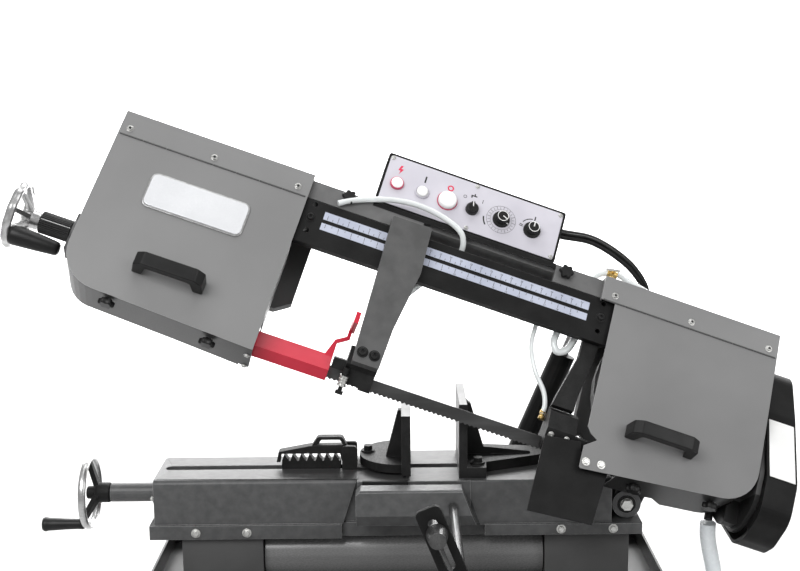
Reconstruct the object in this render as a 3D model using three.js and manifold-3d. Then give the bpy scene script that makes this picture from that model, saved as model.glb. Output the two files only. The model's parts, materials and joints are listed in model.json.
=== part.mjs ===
// Horizontal metal-cutting band saw on a cabinet stand, with its saw head half raised.
// Millimetres, +Z up, +X towards the drive end, +Y away from the operator. The origin is on the floor.
//
// Three nested frames carry the pieces:
//   bench - the fixed frame of the bed: Z = 0 on the table top, Y = 0 on the bed's front face
//   tilt  - the head, turned about its pivot: X along the head, Y as on the bench, Z up
//   cant  - the head's sloping wheel plane: x = a along the head, y = b up the slope, z = c out of it
import * as THREE from 'three';
import { mergeVertices } from 'three/addons/utils/BufferGeometryUtils.js';
import Module from 'manifold-3d';

const wasm = await Module();
wasm.setup();

// ---- driving dimensions ----------------------------------------------------------------------
const TABLE_HEIGHT = 615;
const FLOOR_SHIFT = { x: -11.4, y: 66 };
const HEAD_ANGLE = THREE.MathUtils.degToRad(19.7);
const CANT_ANGLE = THREE.MathUtils.degToRad(55);
const PIVOT = { x: 410, z: -54 };
const GAP = 0.4;
const SHEET = 2.5;
const LATCH_SEAT = 1.4;

const WHEEL = { radius: 155, flange: 159, b: 196, idlerA: -923, driveA: 31, back: 36, front: 66, mid: 50 };
const BLADE = { width: 25, thickness: 0.9, cutY: -23, cutZ: 65, twistFrom: -20, twistTo: -140 };
const DOOR = { back: -4, front: 113, hinge: 330, top: 380 };
const LEFT_COVER = { left: -1106, right: -741, bottomLeft: 30, bottomRight: 13, corner: 72 };
const RIGHT_COVER = { left: -133, right: 194, bottomLeft: -2, bottomRight: 37, corner: 70 };
const BAR = { left: -765, right: -105, bottom: 245, top: 335, back: 89, front: 103 };
const CHANNEL = { bottom: 338, top: 375, back: -10, front: 100, wall: 12 };
const PLATE = { back: -30, front: -10 };
const PANEL = { left: -622, right: -258, bottom: 386, top: 500, back: 15, front: 80, row: 438 };
const TENSION = { b: 159, c: 5, screw: 9 };
const VISE = { y: 74, z: -46.5, screw: 7, slot: 22 };
const CYLINDER = { y: 230, footX: 230.6, footZ: -33.3, lean: Math.atan2(0.3896, 0.921), topAt: 229, eyeAt: 313 };
const JAW = { x: -10, y: 92, radius: 76, plateLeft: -6, plateRight: 11, height: 119 };
const STOP = { x: 86, z: -31, radius: 8.5, end: -470, armTopX: 31, armTopZ: 105 };
const RACK = { x0: -232, x1: -121, y0: 62, y1: 82, valley: 16, tip: 29.4, teeth: 7 };
const LEVER = { x: -106, z: 20 };
const CABINET = { inner: 255, outer: 430 };
const GRIP_AT = { b: -51, c: 25 };
const CONTROLS = { start: -540, stop: -489, coolant: -439, speed: -379, feed: -316 };
// The upper pivot of the lift cylinder, in the tilt frame.
const CYL_EYE = { x: -158.2, z: 272 };
const ROLLER_Z = BLADE.cutZ + BLADE.width / 2 + 1 + 10;
const BELT_EDGE = [[372, -32, 40], [337, 39, 50], [237, 78], [91, 126, 40], [23, 117, 45], [-12, 64, 40],
  [-15, 20, 40], [90, -120, 40], [250, -170, 40], [350, -160, 40], [392, -100, 30]];
const BELT_COVER = { left: 205, right: 263 };
const TRAY = { x: 475, front: -150, back: 240, floor: -216, rim: -175, wall: 4 };

// ---- materials -------------------------------------------------------------------------------
const finish = (color, roughness, metalness) =>
  new THREE.MeshStandardMaterial({ color, roughness, metalness });
const COVER_PAINT = finish(0x7d7f7f, 0.45, 0.1);
const BED_PAINT = finish(0x5b5d5e, 0.6, 0.15);
const BLACK_PAINT = finish(0x1c1d1e, 0.5, 0.1);
const BLACK_GLOSS = finish(0x151617, 0.25, 0.1);
const BLACK_PLASTIC = finish(0x19191a, 0.5, 0);
const RED_PAINT = finish(0xd81f35, 0.4, 0);
const CAST_IRON = finish(0x3c3d3e, 0.6, 0.5);
const STEEL = finish(0xa8aaac, 0.35, 0.9);
const BLADE_STEEL = finish(0x5a5b5c, 0.4, 0.8);
const CHROME = finish(0xd6d8da, 0.15, 1);
const WHITE_PLASTIC = finish(0xf0f0ee, 0.4, 0);
const CLEAR_HOSE = finish(0xd7dadb, 0.3, 0);

// ---- solids ----------------------------------------------------------------------------------
function solid(geometry) {
  geometry.deleteAttribute('normal');
  geometry.deleteAttribute('uv');
  const merged = mergeVertices(geometry, 1e-4);
  const vertProperties = new Float32Array(merged.attributes.position.array);
  const triVerts = new Uint32Array(merged.index.array);
  return new wasm.Manifold(new wasm.Mesh({ numProp: 3, vertProperties, triVerts }));
}

const join = (...parts) => parts.reduce((a, b) => a.add(b));
const cut = (body, ...tools) => tools.reduce((a, b) => a.subtract(b), body);

function bodyGeometry(body) {
  const mesh = body.getMesh();
  const geometry = new THREE.BufferGeometry();
  geometry.setAttribute('position', new THREE.BufferAttribute(new Float32Array(mesh.vertProperties), 3));
  geometry.setIndex(new THREE.BufferAttribute(new Uint32Array(mesh.triVerts), 1));
  geometry.computeVertexNormals();
  return geometry;
}

function put(group, name, body, material) {
  const mesh = new THREE.Mesh(bodyGeometry(body), material);
  mesh.name = name;
  group.add(mesh);
  return mesh;
}

// A box between two corners.
function block(x0, x1, y0, y1, z0, z1) {
  const box = new THREE.BoxGeometry(x1 - x0, y1 - y0, z1 - z0);
  return solid(box.translate((x0 + x1) / 2, (y0 + y1) / 2, (z0 + z1) / 2));
}

// Corner points as [u, v] or [u, v, radius]; a radius rounds the corner with an arc.
function outline(corners, steps = 4) {
  const points = [];
  corners.forEach(([u, v, radius], i) => {
    if (!radius) {
      points.push(new THREE.Vector2(u, v));
      return;
    }
    const here = new THREE.Vector2(u, v);
    const before = new THREE.Vector2(...corners.at(i - 1).slice(0, 2)).sub(here).normalize();
    const after = new THREE.Vector2(...corners[(i + 1) % corners.length].slice(0, 2)).sub(here).normalize();
    const half = Math.acos(THREE.MathUtils.clamp(before.dot(after), -1, 1)) / 2;
    const reach = radius / Math.tan(half);
    const start = here.clone().addScaledVector(before, reach);
    const end = here.clone().addScaledVector(after, reach);
    const centre = here.clone().addScaledVector(before.clone().add(after).normalize(), radius / Math.sin(half));
    const from = start.clone().sub(centre).angle();
    let sweep = end.clone().sub(centre).angle() - from;
    sweep = Math.atan2(Math.sin(sweep), Math.cos(sweep));
    for (let k = 0; k <= steps; k += 1) {
      const angle = from + (sweep * k) / steps;
      points.push(new THREE.Vector2(centre.x + radius * Math.cos(angle), centre.y + radius * Math.sin(angle)));
    }
  });
  return points;
}

// Turns a shape drawn in (u, v) and extruded along w so that w lies along the named axis.
// 'x': u, v become y, z; 'y': u, v become x, z; 'z': u, v stay x, y.
function layAlong(geometry, axis, from, to) {
  if (axis === 'x') {
    const turn = new THREE.Matrix4().makeBasis(
      new THREE.Vector3(0, 1, 0), new THREE.Vector3(0, 0, 1), new THREE.Vector3(1, 0, 0));
    return geometry.applyMatrix4(turn).translate(from, 0, 0);
  }
  if (axis === 'y') return geometry.rotateX(Math.PI / 2).translate(0, to, 0);
  return geometry.translate(0, 0, from);
}

// A straight extrusion of an outline between two stations on an axis.
function prism(corners, axis, from, to, steps) {
  const shape = new THREE.Shape(outline(corners, steps));
  const geometry = new THREE.ExtrudeGeometry(shape, { depth: to - from, bevelEnabled: false });
  return solid(layAlong(geometry, axis, from, to));
}

// A cylinder, or a cone when endRadius differs, between two stations on an axis.
function rod(axis, radius, centre, from, to, sides = 16, endRadius = radius) {
  const geometry = new THREE.CylinderGeometry(endRadius, radius, to - from, sides);
  geometry.rotateX(Math.PI / 2).translate(0, 0, (to - from) / 2);
  if (axis === 'y') {
    geometry.applyMatrix4(new THREE.Matrix4().makeBasis(
      new THREE.Vector3(0, 0, 1), new THREE.Vector3(1, 0, 0), new THREE.Vector3(0, 1, 0)));
    return solid(geometry.translate(centre[0], from, centre[1]));
  }
  if (axis === 'x') {
    geometry.applyMatrix4(new THREE.Matrix4().makeBasis(
      new THREE.Vector3(0, 1, 0), new THREE.Vector3(0, 0, 1), new THREE.Vector3(1, 0, 0)));
    return solid(geometry.translate(from, centre[0], centre[1]));
  }
  return solid(geometry.translate(centre[0], centre[1], from));
}

// A turned body about the z axis from [radius, height] corners that start and end on the axis.
function turned(profile, sides = 20) {
  const points = profile.map(([r, h]) => new THREE.Vector2(r, h));
  return solid(new THREE.LatheGeometry(points, sides).rotateX(Math.PI / 2));
}

// A turned ring whose section is a closed outline.
function ring(section, sides = 28) {
  const points = [...section, section[0]].map(([r, h]) => new THREE.Vector2(r, h));
  return solid(new THREE.LatheGeometry(points, sides).rotateX(Math.PI / 2));
}

// A round hose or cable through the listed points.
function hose(points, radius, sides = 8, steps = 40) {
  const path = new THREE.CatmullRomCurve3(points.map((p) => new THREE.Vector3(...p)), false, 'centripetal');
  const section = new THREE.Shape();
  section.absarc(0, 0, radius, 0, Math.PI * 2, false);
  const geometry = new THREE.ExtrudeGeometry(section, {
    steps, extrudePath: path, curveSegments: sides / 2, bevelEnabled: false });
  return solid(geometry);
}

const moved = (body, x, y, z) => body.translate([x, y, z]);
const turnedAboutX = (body, degrees) => body.rotate([degrees, 0, 0]);
const cantDegrees = THREE.MathUtils.radToDeg(CANT_ANGLE);
// A solid drawn in the tilt frame, carried into the cant frame.
const fromTilt = (body) => turnedAboutX(body, -cantDegrees);

// ---- the nested frames -----------------------------------------------------------------------
const saw = new THREE.Group();
const bench = new THREE.Group();
bench.position.set(FLOOR_SHIFT.x, FLOOR_SHIFT.y, TABLE_HEIGHT);
const tilt = new THREE.Group();
tilt.position.set(PIVOT.x, 0, PIVOT.z);
tilt.rotation.y = HEAD_ANGLE;
const cant = new THREE.Group();
cant.rotation.x = CANT_ANGLE;
saw.add(bench);
bench.add(tilt);
tilt.add(cant);

function cabinet(side) {
  const { inner, outer } = CABINET;
  const x0 = side < 0 ? -outer : inner;
  const x1 = side < 0 ? -inner : outer;
  const foot = 22;
  const wall = 4;
  const shell = cut(
    block(x0, x1, -40, 190, -TABLE_HEIGHT + 6, TRAY.floor - GAP),
    block(x0 + wall, x1 - wall, -40 + wall, 190 - wall, -TABLE_HEIGHT, TRAY.floor - GAP - wall));
  const base = cut(
    block(x0 - foot, x1 + foot, -62, 212, -TABLE_HEIGHT, -TABLE_HEIGHT + 8),
    block(x0 + 30, x1 - 30, -10, 160, -TABLE_HEIGHT - 1, -TABLE_HEIGHT + 9));
  return join(shell, base);
}

// Two cabinets tied together by a shelf, all one welded stand.
function stand() {
  const reach = CABINET.inner + 1;
  const shelf = cut(
    block(-reach, reach, -30, 180, -500, -470),
    block(-reach - 1, reach + 1, -27, 177, -501, -473));
  return join(cabinet(-1), cabinet(1), shelf);
}

// A deep tray with two risers and a panel between them that carry the bed.
function chipTray() {
  const { x, front, back, floor, rim, wall } = TRAY;
  const pan = cut(
    prism([[-x, front, 18], [x, front, 18], [x, back, 18], [-x, back, 18]], 'z', floor, rim, 4),
    prism([[-x + wall, front + wall, 14], [x - wall, front + wall, 14],
      [x - wall, back - wall, 14], [-x + wall, back - wall, 14]], 'z', floor + wall, rim + 1, 4));
  const top = -112 - GAP;
  const bottom = floor + wall - 1;
  return join(pan,
    block(-416, -266, 5, 150, bottom, top),
    block(260, 416, 5, 150, bottom, top + 8),
    block(-267, 261, 60, 150, bottom, top));
}

// ---- bed -------------------------------------------------------------------------------------
function bed() {
  const left = cut(
    prism([[0, -86], [0, 0, 10], [138, 0, 4], [138, -86]], 'x', -465, -88, 5),
    prism([[-88, 1], [-80, 1], [-80, -90], [-117, -90]], 'y', -1, 12));
  const table = join(
    block(-88, 120, -14, 168, -60, 0),
    block(-118, 150, 12, 138, -86, -59));
  const right = cut(
    prism([[-12, -86], [-12, 0, 3], [150, 0, 4], [150, -86]], 'x', 107, 380, 4),
    prism([[100, 1], [107.6, 1], [140, -90], [100, -90]], 'y', -13, -1));
  const flanges = join(
    block(-474, -118, -6, 144, -112, -85),
    block(146, 436, -18, 156, -104, -83),
    block(-119, 147, 6, 144, -112, -85));
  const ears = [[60, 80], [118, 142]].map(([y0, y1]) =>
    prism([[366, -86], [434, -86], [434, -28, 20], [388, -28, 8], [366, -8]], 'y', y0, y1));
  const ledge = block(-80, 110, -30 + GAP, -13, -70, -46);
  const cylinderFoot = prism(
    [[206, -70], [256, -70], [256, -18, 16], [206, -18, 16]], 'y', 148, 199);
  const pin = rod('y', 7, [CYLINDER.footX, CYLINDER.footZ], 198, 250);
  const screwHousing = join(
    rod('x', 18, [VISE.y, VISE.z], -559, -464, 22),
    rod('x', 23, [VISE.y, VISE.z], -478, -464, 22));
  const body = join(left, table, right, flanges, ...ears, ledge, cylinderFoot, pin, screwHousing);
  const slot = prism(
    [[-454, VISE.y - VISE.slot / 2, 10], [112, VISE.y - VISE.slot / 2],
      [112, VISE.y + VISE.slot / 2], [-454, VISE.y + VISE.slot / 2, 10]], 'z', -64, 1);
  const bore = rod('x', VISE.screw + GAP, [VISE.y, VISE.z], -570, -440);
  const shaftBore = rod('y', 10 + GAP, [PIVOT.x, PIVOT.z], 30, 160);
  const bladeRelief = block(335, 381, -13, -3, -8, 1);
  return cut(body, slot, bore, shaftBore, bladeRelief);
}

function apron() {
  const profile = prism(
    [[-64, -4], [-60, -1], [-30, -1], [-30, -70], [-53, -70], [-64, -48]], 'x', -89, 130);
  const rightSide = prism([[101.5, 1], [140, 1], [140, -72], [129.5, -72]], 'y', -70, -20);
  const corner = prism([[-92, -12], [-92, 1], [-78, 1]], 'y', -70, -20);
  return cut(profile, rightSide, corner);
}

function viseHandwheel() {
  const rim = moved(ring([[61, -6], [68, -4], [69, 2], [65, 7], [59, 6], [58, 0]], 22).rotate([0, 90, 0]),
    -601, VISE.y, VISE.z);
  const hub = rod('x', 19, [VISE.y, VISE.z], -590, -561, 20);
  const nose = rod('x', 12, [VISE.y, VISE.z], -606, -588, 20);
  const spokes = [0, 1, 2].map((i) => {
    const angle = Math.PI / 2 + (i * 2 * Math.PI) / 3;
    const arm = prism([[-597, 8], [-582, 8], [-597, 61], [-606, 61]], 'y', -5, 5);
    return moved(arm.rotate([THREE.MathUtils.radToDeg(angle) - 90, 0, 0]), 0, VISE.y, VISE.z);
  });
  const screw = rod('x', VISE.screw, [VISE.y, VISE.z], -562, -150, 16);
  const gripPin = rod('x', 4.5, [VISE.y - 18, VISE.z - 56], -640, -598, 12);
  return join(rim, hub, nose, ...spokes, screw, gripPin);
}

function viseGrip() {
  const body = turned([[0, 0], [9, 0], [10.5, 6], [10, 20], [13, 60], [13.5, 74], [10, 80], [0, 80]], 20);
  const hole = rod('z', 4.8, [0, 0], -1, 34, 12);
  return moved(cut(body, hole).rotate([0, -90, 0]), -609.5, VISE.y - 18, VISE.z - 56);
}

function rackBlock() {
  const pitch = (RACK.x1 - RACK.x0) / RACK.teeth;
  const corners = [[RACK.x0, GAP], [RACK.x1, GAP], [RACK.x1, RACK.valley]];
  for (let i = RACK.teeth - 1; i >= 0; i -= 1) {
    const start = RACK.x0 + i * pitch;
    corners.push([start + pitch * 0.82, RACK.valley], [start + pitch * 0.3, RACK.tip], [start, RACK.valley]);
  }
  corners.pop();
  corners.push([RACK.x0, RACK.valley]);
  const tongue = block(RACK.x0, -150, VISE.y - VISE.slot / 2 + GAP, VISE.y + VISE.slot / 2 - GAP, -62, 1);
  return cut(join(prism(corners, 'y', RACK.y0, RACK.y1), tongue),
    rod('x', VISE.screw + GAP, [VISE.y, VISE.z], -260, -140, 16));
}

function rackLever() {
  const bar = prism([[-242, 14], [-235, 14], [-233, 30], [-122, 30], [-117, 8, 6], [-96, 8, 8],
    [-96, 40, 8], [-124, 45], [-178, 45], [-238, 34, 3]], 'y', RACK.y0, RACK.y1);
  const bow = prism([[-176, 43], [-164, 62, 8], [-117, 62, 8], [-106, 38]], 'y', 64, 80);
  const fingerGap = prism([[-164, 46], [-157, 56, 3], [-122, 56, 3], [-116, 46]], 'y', 60, 90);
  const pinHole = rod('y', 5 + GAP, [LEVER.x, LEVER.z], 40, 110, 16);
  return cut(join(bar, bow), fingerGap, pinHole);
}

function jawCarriage() {
  const cheeks = [[RACK.y0 - 8, RACK.y0 - GAP], [RACK.y1 + GAP, RACK.y1 + 8]].map(([y0, y1]) =>
    prism([[-118, GAP], [-90, GAP], [-90, 46, 6], [-118, 46, 6]], 'y', y0, y1));
  const web = block(-94, -90, RACK.y0 - 8, RACK.y1 + 8, GAP, 8);
  const plate = block(-94, 4, RACK.y0 - 8, JAW.y + 14, GAP, 5);
  const pin = rod('y', 5, [LEVER.x, LEVER.z], RACK.y0 - 4, RACK.y1 + 4, 16);
  const stud = rod('z', 8, [JAW.x, JAW.y], 3, 17, 16);
  return join(...cheeks, web, plate, pin, stud);
}

function movableJaw() {
  const disc = cut(rod('z', JAW.radius, [JAW.x, JAW.y], 5 + GAP, 22, 40),
    block(JAW.plateLeft + 3, 100, 0, 180, 0, 30));
  const face = block(JAW.plateLeft, JAW.plateRight, 0, 150, 5 + GAP, JAW.height);
  const rib = prism([[-36, 20], [-5, 20], [-5, 112], [-12, 112]], 'y', 66, 82);
  const bolt = join(rod('z', 13, [-70, 100], 20, 25, 20), rod('z', 9, [-70, 100], 24, 34, 6));
  return cut(join(disc, face, rib, bolt), rod('z', 8 + GAP, [JAW.x, JAW.y], 0, 18, 16));
}

function fixedJaw() {
  const face = block(100, 115, 0, 150, GAP, 140);
  const foot = prism([[114, 0], [150, 0], [152, 34], [262, 78, 12], [262, 128, 12], [114, 150]], 'z', GAP, 20);
  const rib = prism([[114, 18], [240, 18], [238, 24], [150, 34], [126, 118], [114, 128]], 'y', 84, 98);
  const slot = prism([[170, 70], [222, 88], [216, 100], [164, 82]], 'z', -1, 30);
  const bolt = join(rod('z', 13, [136, 26], 18, 24, 20), rod('z', 9, [136, 26], 23, 32, 6));
  return cut(join(face, foot, rib, bolt), cut(slot, block(150, 240, 83, 99, -2, 31)));
}

const stopAngle = THREE.MathUtils.radToDeg(Math.atan2(STOP.x - STOP.armTopX, STOP.armTopZ - STOP.z));
const stopLength = Math.hypot(STOP.x - STOP.armTopX, STOP.armTopZ - STOP.z);

function stopCollar() {
  const grip = prism([[STOP.x - 17, STOP.z - 17, 8], [STOP.x + 17, STOP.z - 17, 8],
    [STOP.x + 17, STOP.z + 17, 8], [STOP.x - 17, STOP.z + 17, 8]], 'y', -462, -436, 3);
  const spigot = rod('y', 13, [STOP.x, STOP.z], -437, -424, 20);
  return cut(join(grip, spigot), rod('y', STOP.radius + GAP, [STOP.x, STOP.z], -480, -400, 20));
}

// The arm is drawn upright above the rod's axis and then leaned over to the left.
function leaned(body) {
  return moved(body.rotate([0, -stopAngle, 0]), STOP.x, 0, STOP.z);
}

function stopArm() {
  const arm = prism([[-20, -20, 10], [20, -20, 10], [20, stopLength, 9], [-20, stopLength, 9]], 'y', -435, -427, 4);
  const slot = prism([[-7.5, 44, 7], [7.5, 44, 7], [7.5, stopLength - 18, 7], [-7.5, stopLength - 18, 7]],
    'y', -440, -420, 4);
  return leaned(cut(arm, slot, rod('y', 13 + GAP, [0, 0], -440, -420, 20)));
}

function stopPin() {
  const at = stopLength - 42;
  return leaned(join(
    rod('y', 7, [0, at], -450, -340, 16),
    rod('y', 12, [0, at], -427 + GAP, -420, 20),
    rod('y', 13, [0, at], -464, -436 - GAP, 20, 17),
    rod('z', 3, [0, -456], at - 70, at, 10)));
}

// ---- pivot and frame of the head -------------------------------------------------------------
function pivotShaft() {
  return join(
    rod('y', 10, [PIVOT.x, PIVOT.z], 2, 182, 20),
    rod('y', 17, [PIVOT.x, PIVOT.z], 3, 8 - GAP, 22),
    rod('y', 11, [PIVOT.x, PIVOT.z], -6, 4, 6),
    rod('y', 15, [PIVOT.x, PIVOT.z], 172 + GAP, 184, 6));
}

function lug(y0, y1, neck) {
  return join(rod('y', 27, [0, 0], y0, y1, 32), neck);
}

const beltCentre = { b: 190, c: -20 };
const beltEdge = (scale) => BELT_EDGE.map(([b, c, r]) =>
  [beltCentre.b + (b - beltCentre.b) * scale, beltCentre.c + (c - beltCentre.c) * scale, r ? r * scale : 0]);

function headFrame() {
  const { bottom, top, back, front, wall } = CHANNEL;
  const channel = cut(
    block(-1085, 190, bottom, top, back, front),
    block(-1086, 191, bottom - 1, top - wall, back + wall, front - wall));
  const hoseSlot = block(-520, -256, bottom - 1, 371, front - wall - 1, front + 1);
  const leftPlate = prism([[-1085, 124, 20], [-900, 124], [-880, 150], [-735, 150], [-706, 171], [-706, top],
    [-1085, top]], 'z', PLATE.back, PLATE.front);
  const rightPlate = prism([[-128, 95], [-24, 95], [-24, 20], [30, 20], [40, 44], [197, 44], [197, top],
    [-128, top]], 'z', PLATE.back, PLATE.front);
  const rails = [[140, 146.6], [246, 252]].map(([b0, b1]) => block(-1080, -800, b0, b1, PLATE.front - 1, 12));
  const collar = block(-1130, -1084, 118, 192, -25, 22);
  const leftPad = block(BAR.left, -745, 250, 330, PLATE.front - 1, BAR.back - GAP);
  const rightPad = block(-128, BAR.right, 292, 333, PLATE.front - 1, BAR.back - GAP);
  const bearing = rod('z', 42, [WHEEL.driveA, WHEEL.b], PLATE.front - 1, 26, 22);
  const endPlate = prism(beltEdge(0.9), 'x', 196, BELT_COVER.left - GAP);
  const doorSpace = prism([[-133, bottom], [-133, -3.5], [195.5, 35.5, 70], [195.5, bottom]], 'z', PLATE.front, front);
  const flange = cut(prism(beltEdge(0.86), 'x', 172, 197), doorSpace, block(171, 197.5, 80, 400, -200, 200),
    block(171, 197.5, -40, 90, 40, 200));
  const frontLug = fromTilt(lug(8, 34, prism([[-26, 0], [26, 0], [29, 38], [-29, 38]], 'y', 8, 34)));
  const backLug = fromTilt(lug(146, 172, prism([[-24, 0], [24, 0], [-2, 26], [-2, 188], [-24, 188]], 'y', 146, 172)));
  const cheeks = [[210, 216], [244, 250]].map(([y0, y1]) =>
    block(CYL_EYE.x - 14, CYL_EYE.x + 14, y0, y1, CYL_EYE.z - 14, CYL_EYE.z + 30));
  const bridge = block(CYL_EYE.x - 14, CYL_EYE.x + 14, 205, 250, CYL_EYE.z + 26, CYL_EYE.z + 34);
  const barb = rod('y', 8, [165, -20], 30, 46, 12);
  const body = join(channel, leftPlate, rightPlate, ...rails, collar, leftPad, rightPad, bearing, endPlate,
    flange, frontLug, backLug, barb, ...[...cheeks, bridge].map(fromTilt));
  const shaftBore = fromTilt(rod('y', 10 + GAP, [0, 0], -10, 200));
  const screwBore = rod('x', TENSION.screw + GAP, [TENSION.b, TENSION.c], -1140, -1080);
  const axleBore = rod('z', 15 + GAP, [WHEEL.driveA, WHEEL.b], -40, 40);
  return cut(body, hoseSlot, shaftBore, screwBore, axleBore);
}

// ---- hoods and doors -------------------------------------------------------------------------
function hood(left, right) {
  const { front, hinge, top } = DOOR;
  return cut(
    block(left, right, hinge + GAP, top, -4, front),
    block(left + SHEET, right - SHEET, hinge - 1, top - SHEET, -5, front - SHEET),
    block(left - 1, right + 1, hinge - 1, top - SHEET, -5, BAR.front + 1));
}

// A folded sheet cover: a front sheet with walls turned back along its lower edges.
function shell(corners, inset) {
  return cut(
    prism(corners, 'z', DOOR.back, DOOR.front, 8),
    prism(inset, 'z', DOOR.back - 1, DOOR.front - SHEET, 8));
}

function leftDoor() {
  const { left, right, bottomLeft, bottomRight, corner } = LEFT_COVER;
  const top = DOOR.hinge - GAP;
  const body = shell(
    [[left, top], [left, bottomLeft, corner], [right, bottomRight], [right, top]],
    [[left + SHEET, top + 1], [left + SHEET, bottomLeft + SHEET, corner - SHEET],
      [right - SHEET, bottomRight + SHEET], [right - SHEET, top + 1]]);
  const behind = DOOR.back - 1;
  const inside = DOOR.front - SHEET;
  const bedClearance = prism(
    [[-1100, behind], [-735, behind], [-735, 12.5], [-885, 17.5], [-1040, 18]], 'y', -10, 60);
  const sleeveGap = block(left - 1, left + 30, 112, 198, behind, 32);
  const rightTop = block(right - 20, right + 1, 235, 340, behind, inside);
  const guardGap = block(right - 20, right + 1, 18, 84, behind, inside);
  const rightBack = block(right - 20, right + 1, 12, 340, behind, 20);
  return cut(body, bedClearance, sleeveGap, rightTop, guardGap, rightBack);
}

function rightDoor() {
  const { left, right, bottomLeft, bottomRight, corner } = RIGHT_COVER;
  const top = DOOR.hinge - GAP;
  const body = shell(
    [[left, top], [left, 78], [-125, 67], [-111, 58], [left, 41], [left, bottomLeft, 4],
      [right, bottomRight, corner], [right, top]],
    [[left - 5, top + 1], [left - 5, bottomLeft + SHEET - 0.6],
      [right - SHEET, bottomRight + SHEET, corner - SHEET], [right - SHEET, top + 1]]);
  const behind = DOOR.back - 1;
  const toeBack = block(-140, -62, -12, 30, behind, DOOR.front - SHEET);
  const pivotClearance = prism([[-64, behind], [62, behind], [36, 24], [14, 24], [-64, 36]], 'y', -10, 60);
  const wallBack = block(right - 30, right + 1, 50, 340, behind, 32);
  return cut(body, toeBack, pivotClearance, wallBack);
}

function pullHandle(a, b) {
  const bow = prism([[-63, 0], [-43, 0], [-38, 28, 5], [38, 28, 5], [43, 0], [63, 0], [61, 34, 4], [47, 43, 6],
    [-47, 43, 6], [-61, 34, 4]], 'y', -13, 13, 4);
  return moved(bow, a, b, DOOR.front + GAP);
}

// The underside of each cover at a station along the head.
const underLeft = (a) => THREE.MathUtils.mapLinear(
  a, LEFT_COVER.left, LEFT_COVER.right, LEFT_COVER.bottomLeft, LEFT_COVER.bottomRight);
const underRight = (a) => THREE.MathUtils.mapLinear(
  a, RIGHT_COVER.left, RIGHT_COVER.right, RIGHT_COVER.bottomLeft, RIGHT_COVER.bottomRight);

function latchKnob(a, b, c) {
  const lobes = 6;
  const points = 4 * lobes;
  const edge = Array.from({ length: points }, (_, i) => {
    const angle = (i * 2 * Math.PI) / points;
    const radius = 13 + 2 * Math.cos(lobes * angle);
    return [radius * Math.cos(angle), radius * Math.sin(angle)];
  });
  const knob = join(prism(edge, 'z', 3, 14), rod('z', 7, [0, 0], 0, 4, 12));
  return moved(knob.rotate([90, 0, 0]), a, b - LATCH_SEAT, c);
}

// ---- guide bar, arms and guides --------------------------------------------------------------
function guideBar() {
  const { left, right, bottom, top, back, front } = BAR;
  const holes = [[-723, 327], [-723, 271], [-152, 326], [-152, 268]].map(([a, b]) =>
    rod('z', 5, [a, b], back - 1, front + 1, 14));
  return cut(block(left, right, bottom, top, back, front), ...holes);
}

function leftArm() {
  const plate = prism([[-580, 349, 3], [-504, 349, 3], [-500, 252], [-518, 130], [-522, 50, 3], [-571, 50, 3]],
    'z', BAR.front + GAP, 122);
  const hook = block(-580, -504, BAR.top + GAP, 349, BAR.back - 16, BAR.front + 1);
  const clamp = block(-580, -504, 300, 349, BAR.back - 16, BAR.back - GAP);
  return cut(join(plate, hook, clamp), block(-590, -490, BAR.top + 1.6, 380, 60, CHANNEL.front + GAP));
}

function guideBlock(x0, x1, topPoints) {
  const body = prism([[8, 60], [8, 104], ...topPoints, [-45, 88], [-45, 60]], 'x', x0, x1);
  const slot = block(x0 - 1, x1 + 1, BLADE.cutY - 1.6, BLADE.cutY + 1.6, 50, BLADE.cutZ + BLADE.width / 2 + 1);
  const fingers = [[-45, -30], [-16, 8]].map(([y0, y1]) => block(x1 - 22, x1, y0, y1, 56, 62));
  return cut(join(body, ...fingers), slot);
}

function rollerBracket(x, side) {
  return join(
    block(Math.min(x + side * 24, x - side), Math.max(x + side * 24, x - side), -44, -34, 80, 100),
    rod('y', 4, [x + side * 14, ROLLER_Z], -36, -14, 14));
}

function roller(x) {
  return cut(
    rod('y', 10, [x, ROLLER_Z], -32, -15, 20),
    rod('y', 4 + GAP, [x, ROLLER_Z], -33, -13, 14));
}

function bladeGuard() {
  const section = [[67, 70], [35, 79], [22, 57], [23.6, 55.6], [36, 75.6], [67, 67.6]];
  const cover = cut(
    prism(section, 'x', -946, -604),
    block(-947, -850, 0, 33, 50, 90));
  const arm = prism([[-622, 58], [-604, 58], [-604, 92], [-584, 106], [-584, 142], [-590, 142], [-591, 110],
    [-609, 98]], 'z', 67.8, 71);
  const tab = block(-589, -580 - GAP, 120, 142, 68, 121);
  return join(cover, arm, tab);
}

function rightArm() {
  return prism([[-170, 334], [-136, 334], [-138, 264], [-143, 210], [-157, 136], [-158, 106], [-200, 106],
    [-196, 126], [-172, 214], [-170, 263]], 'z', 73, BAR.back - GAP);
}

function chipShield() {
  const front = 98;
  const upper = prism([[-202, 42], [-135, 51], [-131, 30], [-76, 14], [-84, -89], [-202, -100]], 'z', front - 3, front);
  const stem = fromTilt(block(-190, -156, -66, -45 - GAP, 72, 86));
  return join(upper, cut(stem, block(-200, -140, 0, 80, front, front + 30)));
}

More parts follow.
